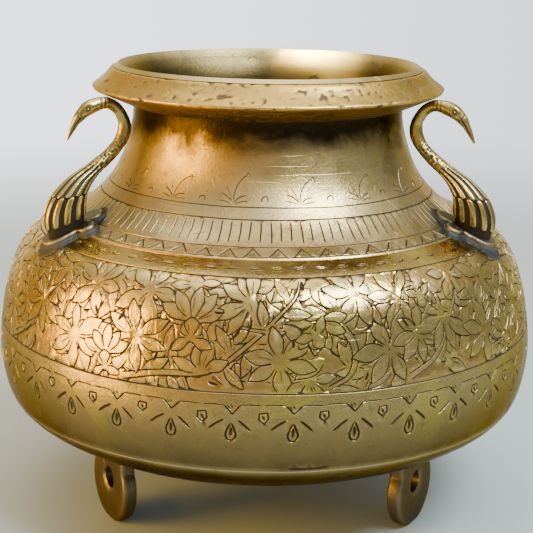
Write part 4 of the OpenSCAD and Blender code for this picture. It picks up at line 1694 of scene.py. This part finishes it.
def build_floor():
    """A round floor that fades out, so that it melts into the pale room behind it."""
    sides, rings = 96, [0.0, 0.3, 0.6, 0.9, 1.3]
    turns = [2 * math.pi * k / sides for k in range(sides)]
    points = [(r * math.cos(turn_at), r * math.sin(turn_at), 0) for r in rings[1:] for turn_at in turns]
    points.append((0, 0, 0))
    faces = [(k, (k + 1) % sides, len(points) - 1) for k in range(sides)]
    for i in range(len(rings) - 2):
        faces += [(i * sides + k, (i + 1) * sides + k, (i + 1) * sides + (k + 1) % sides,
                   i * sides + (k + 1) % sides) for k in range(sides)]
    floor = mesh_object("floor", points, faces)
    paper = bpy.data.materials.new("floor_paper")
    paper.use_nodes = True
    tree = paper.node_tree
    shader = tree.nodes["Principled BSDF"]
    shader.inputs["Base Color"].default_value = (0.33, 0.37, 0.37, 1)
    shader.inputs["Roughness"].default_value = 0.9
    place = add_node(tree, "ShaderNodeTexCoord").outputs["Object"]
    away = add_node(tree, "ShaderNodeVectorMath", [(0, place)], operation="LENGTH").outputs["Value"]
    fade = add_node(tree, "ShaderNodeMapRange", [
        ("Value", away), ("From Min", FADE_START), ("From Max", FADE_END), ("To Min", 1.0),
        ("To Max", 0.0)], interpolation_type="SMOOTHSTEP").outputs[0]
    tree.links.new(fade, shader.inputs["Alpha"])
    floor.data.materials.append(paper)
    return floor


build_floor()

# %% Hang the lamps
# Each lamp is its place, what it points at, its width and height, its watts and its colour.
LAMPS = [
    ("warm_left", (-0.75, -0.28, 0.2), (0, 0, 0.08), (0.45, 0.5), 13, (1.0, 0.57, 0.04)),
    ("window_right", (0.42, -0.4, 0.85), (0, 0, 0.08), (0.55, 0.4), 19, (0.84, 0.94, 1.0)),
    ("into_mouth", (-0.1, -0.03, 0.5), (0.02, 0.03, 0.14), (0.02, 0.02), 0.26, (1.0, 0.84, 0.4)),
    ("overhead", (-0.1, 0.15, 1.2), (0, 0, 0.1), (1.0, 0.8), 8, (0.95, 0.98, 1.0))]
NARROW_BEAM = 0.12


def area_light(name, at, aim, size, power, colour):
    data = bpy.data.lights.new(name, "AREA")
    data.shape = "RECTANGLE"
    data.size, data.size_y = size
    data.energy = power
    data.color = colour
    lamp = bpy.data.objects.new(name, data)
    bpy.context.collection.objects.link(lamp)
    lamp.location = at
    lamp.rotation_euler = (Vector(aim) - Vector(at)).to_track_quat("-Z", "Y").to_euler()
    return lamp


lamps = {name: area_light(name, *settings) for name, *settings in LAMPS}
lamps["into_mouth"].data.spread = NARROW_BEAM
print("lamps:", {name: lamp.data.energy for name, lamp in lamps.items()})

# %% Paint the room
WARM_WALL, COOL_WALL = (0.8, 0.5, 0.12), (0.43, 0.46, 0.42)
CEILING = (1.14, 1.12, 1.02)
BRIGHT_BACK, DIM_BACK = (2.4, 2.6, 2.7), (1.5, 1.62, 1.75)
world = bpy.data.worlds.new("room")
bpy.context.scene.world = world
world.use_nodes = True
room = world.node_tree
room.nodes.clear()
direction = add_node(room, "ShaderNodeTexCoord").outputs["Generated"]
split = add_node(room, "ShaderNodeSeparateXYZ", [(0, direction)])


def room_ramp(axis, low, high):
    """0 to 1 across the room along one axis of the direction looked in."""
    return add_node(room, "ShaderNodeMapRange", [
        ("Value", split.outputs[axis]), ("From Min", low), ("From Max", high)],
        interpolation_type="SMOOTHSTEP").outputs[0]


walls = mix(room, room_ramp("X", -0.7, 0.5), WARM_WALL, COOL_WALL)
colour = mix(room, room_ramp("Z", 0.3, 0.85), walls, CEILING)
backdrop = mix(room, room_ramp("X", -0.25, 0.25), BRIGHT_BACK, DIM_BACK)
colour = mix(room, room_ramp("Y", 0.6, 0.92), colour, backdrop)
glow = add_node(room, "ShaderNodeBackground", [("Color", colour), ("Strength", 1.0)])
add_node(room, "ShaderNodeOutputWorld", [("Surface", glow.outputs[0])])
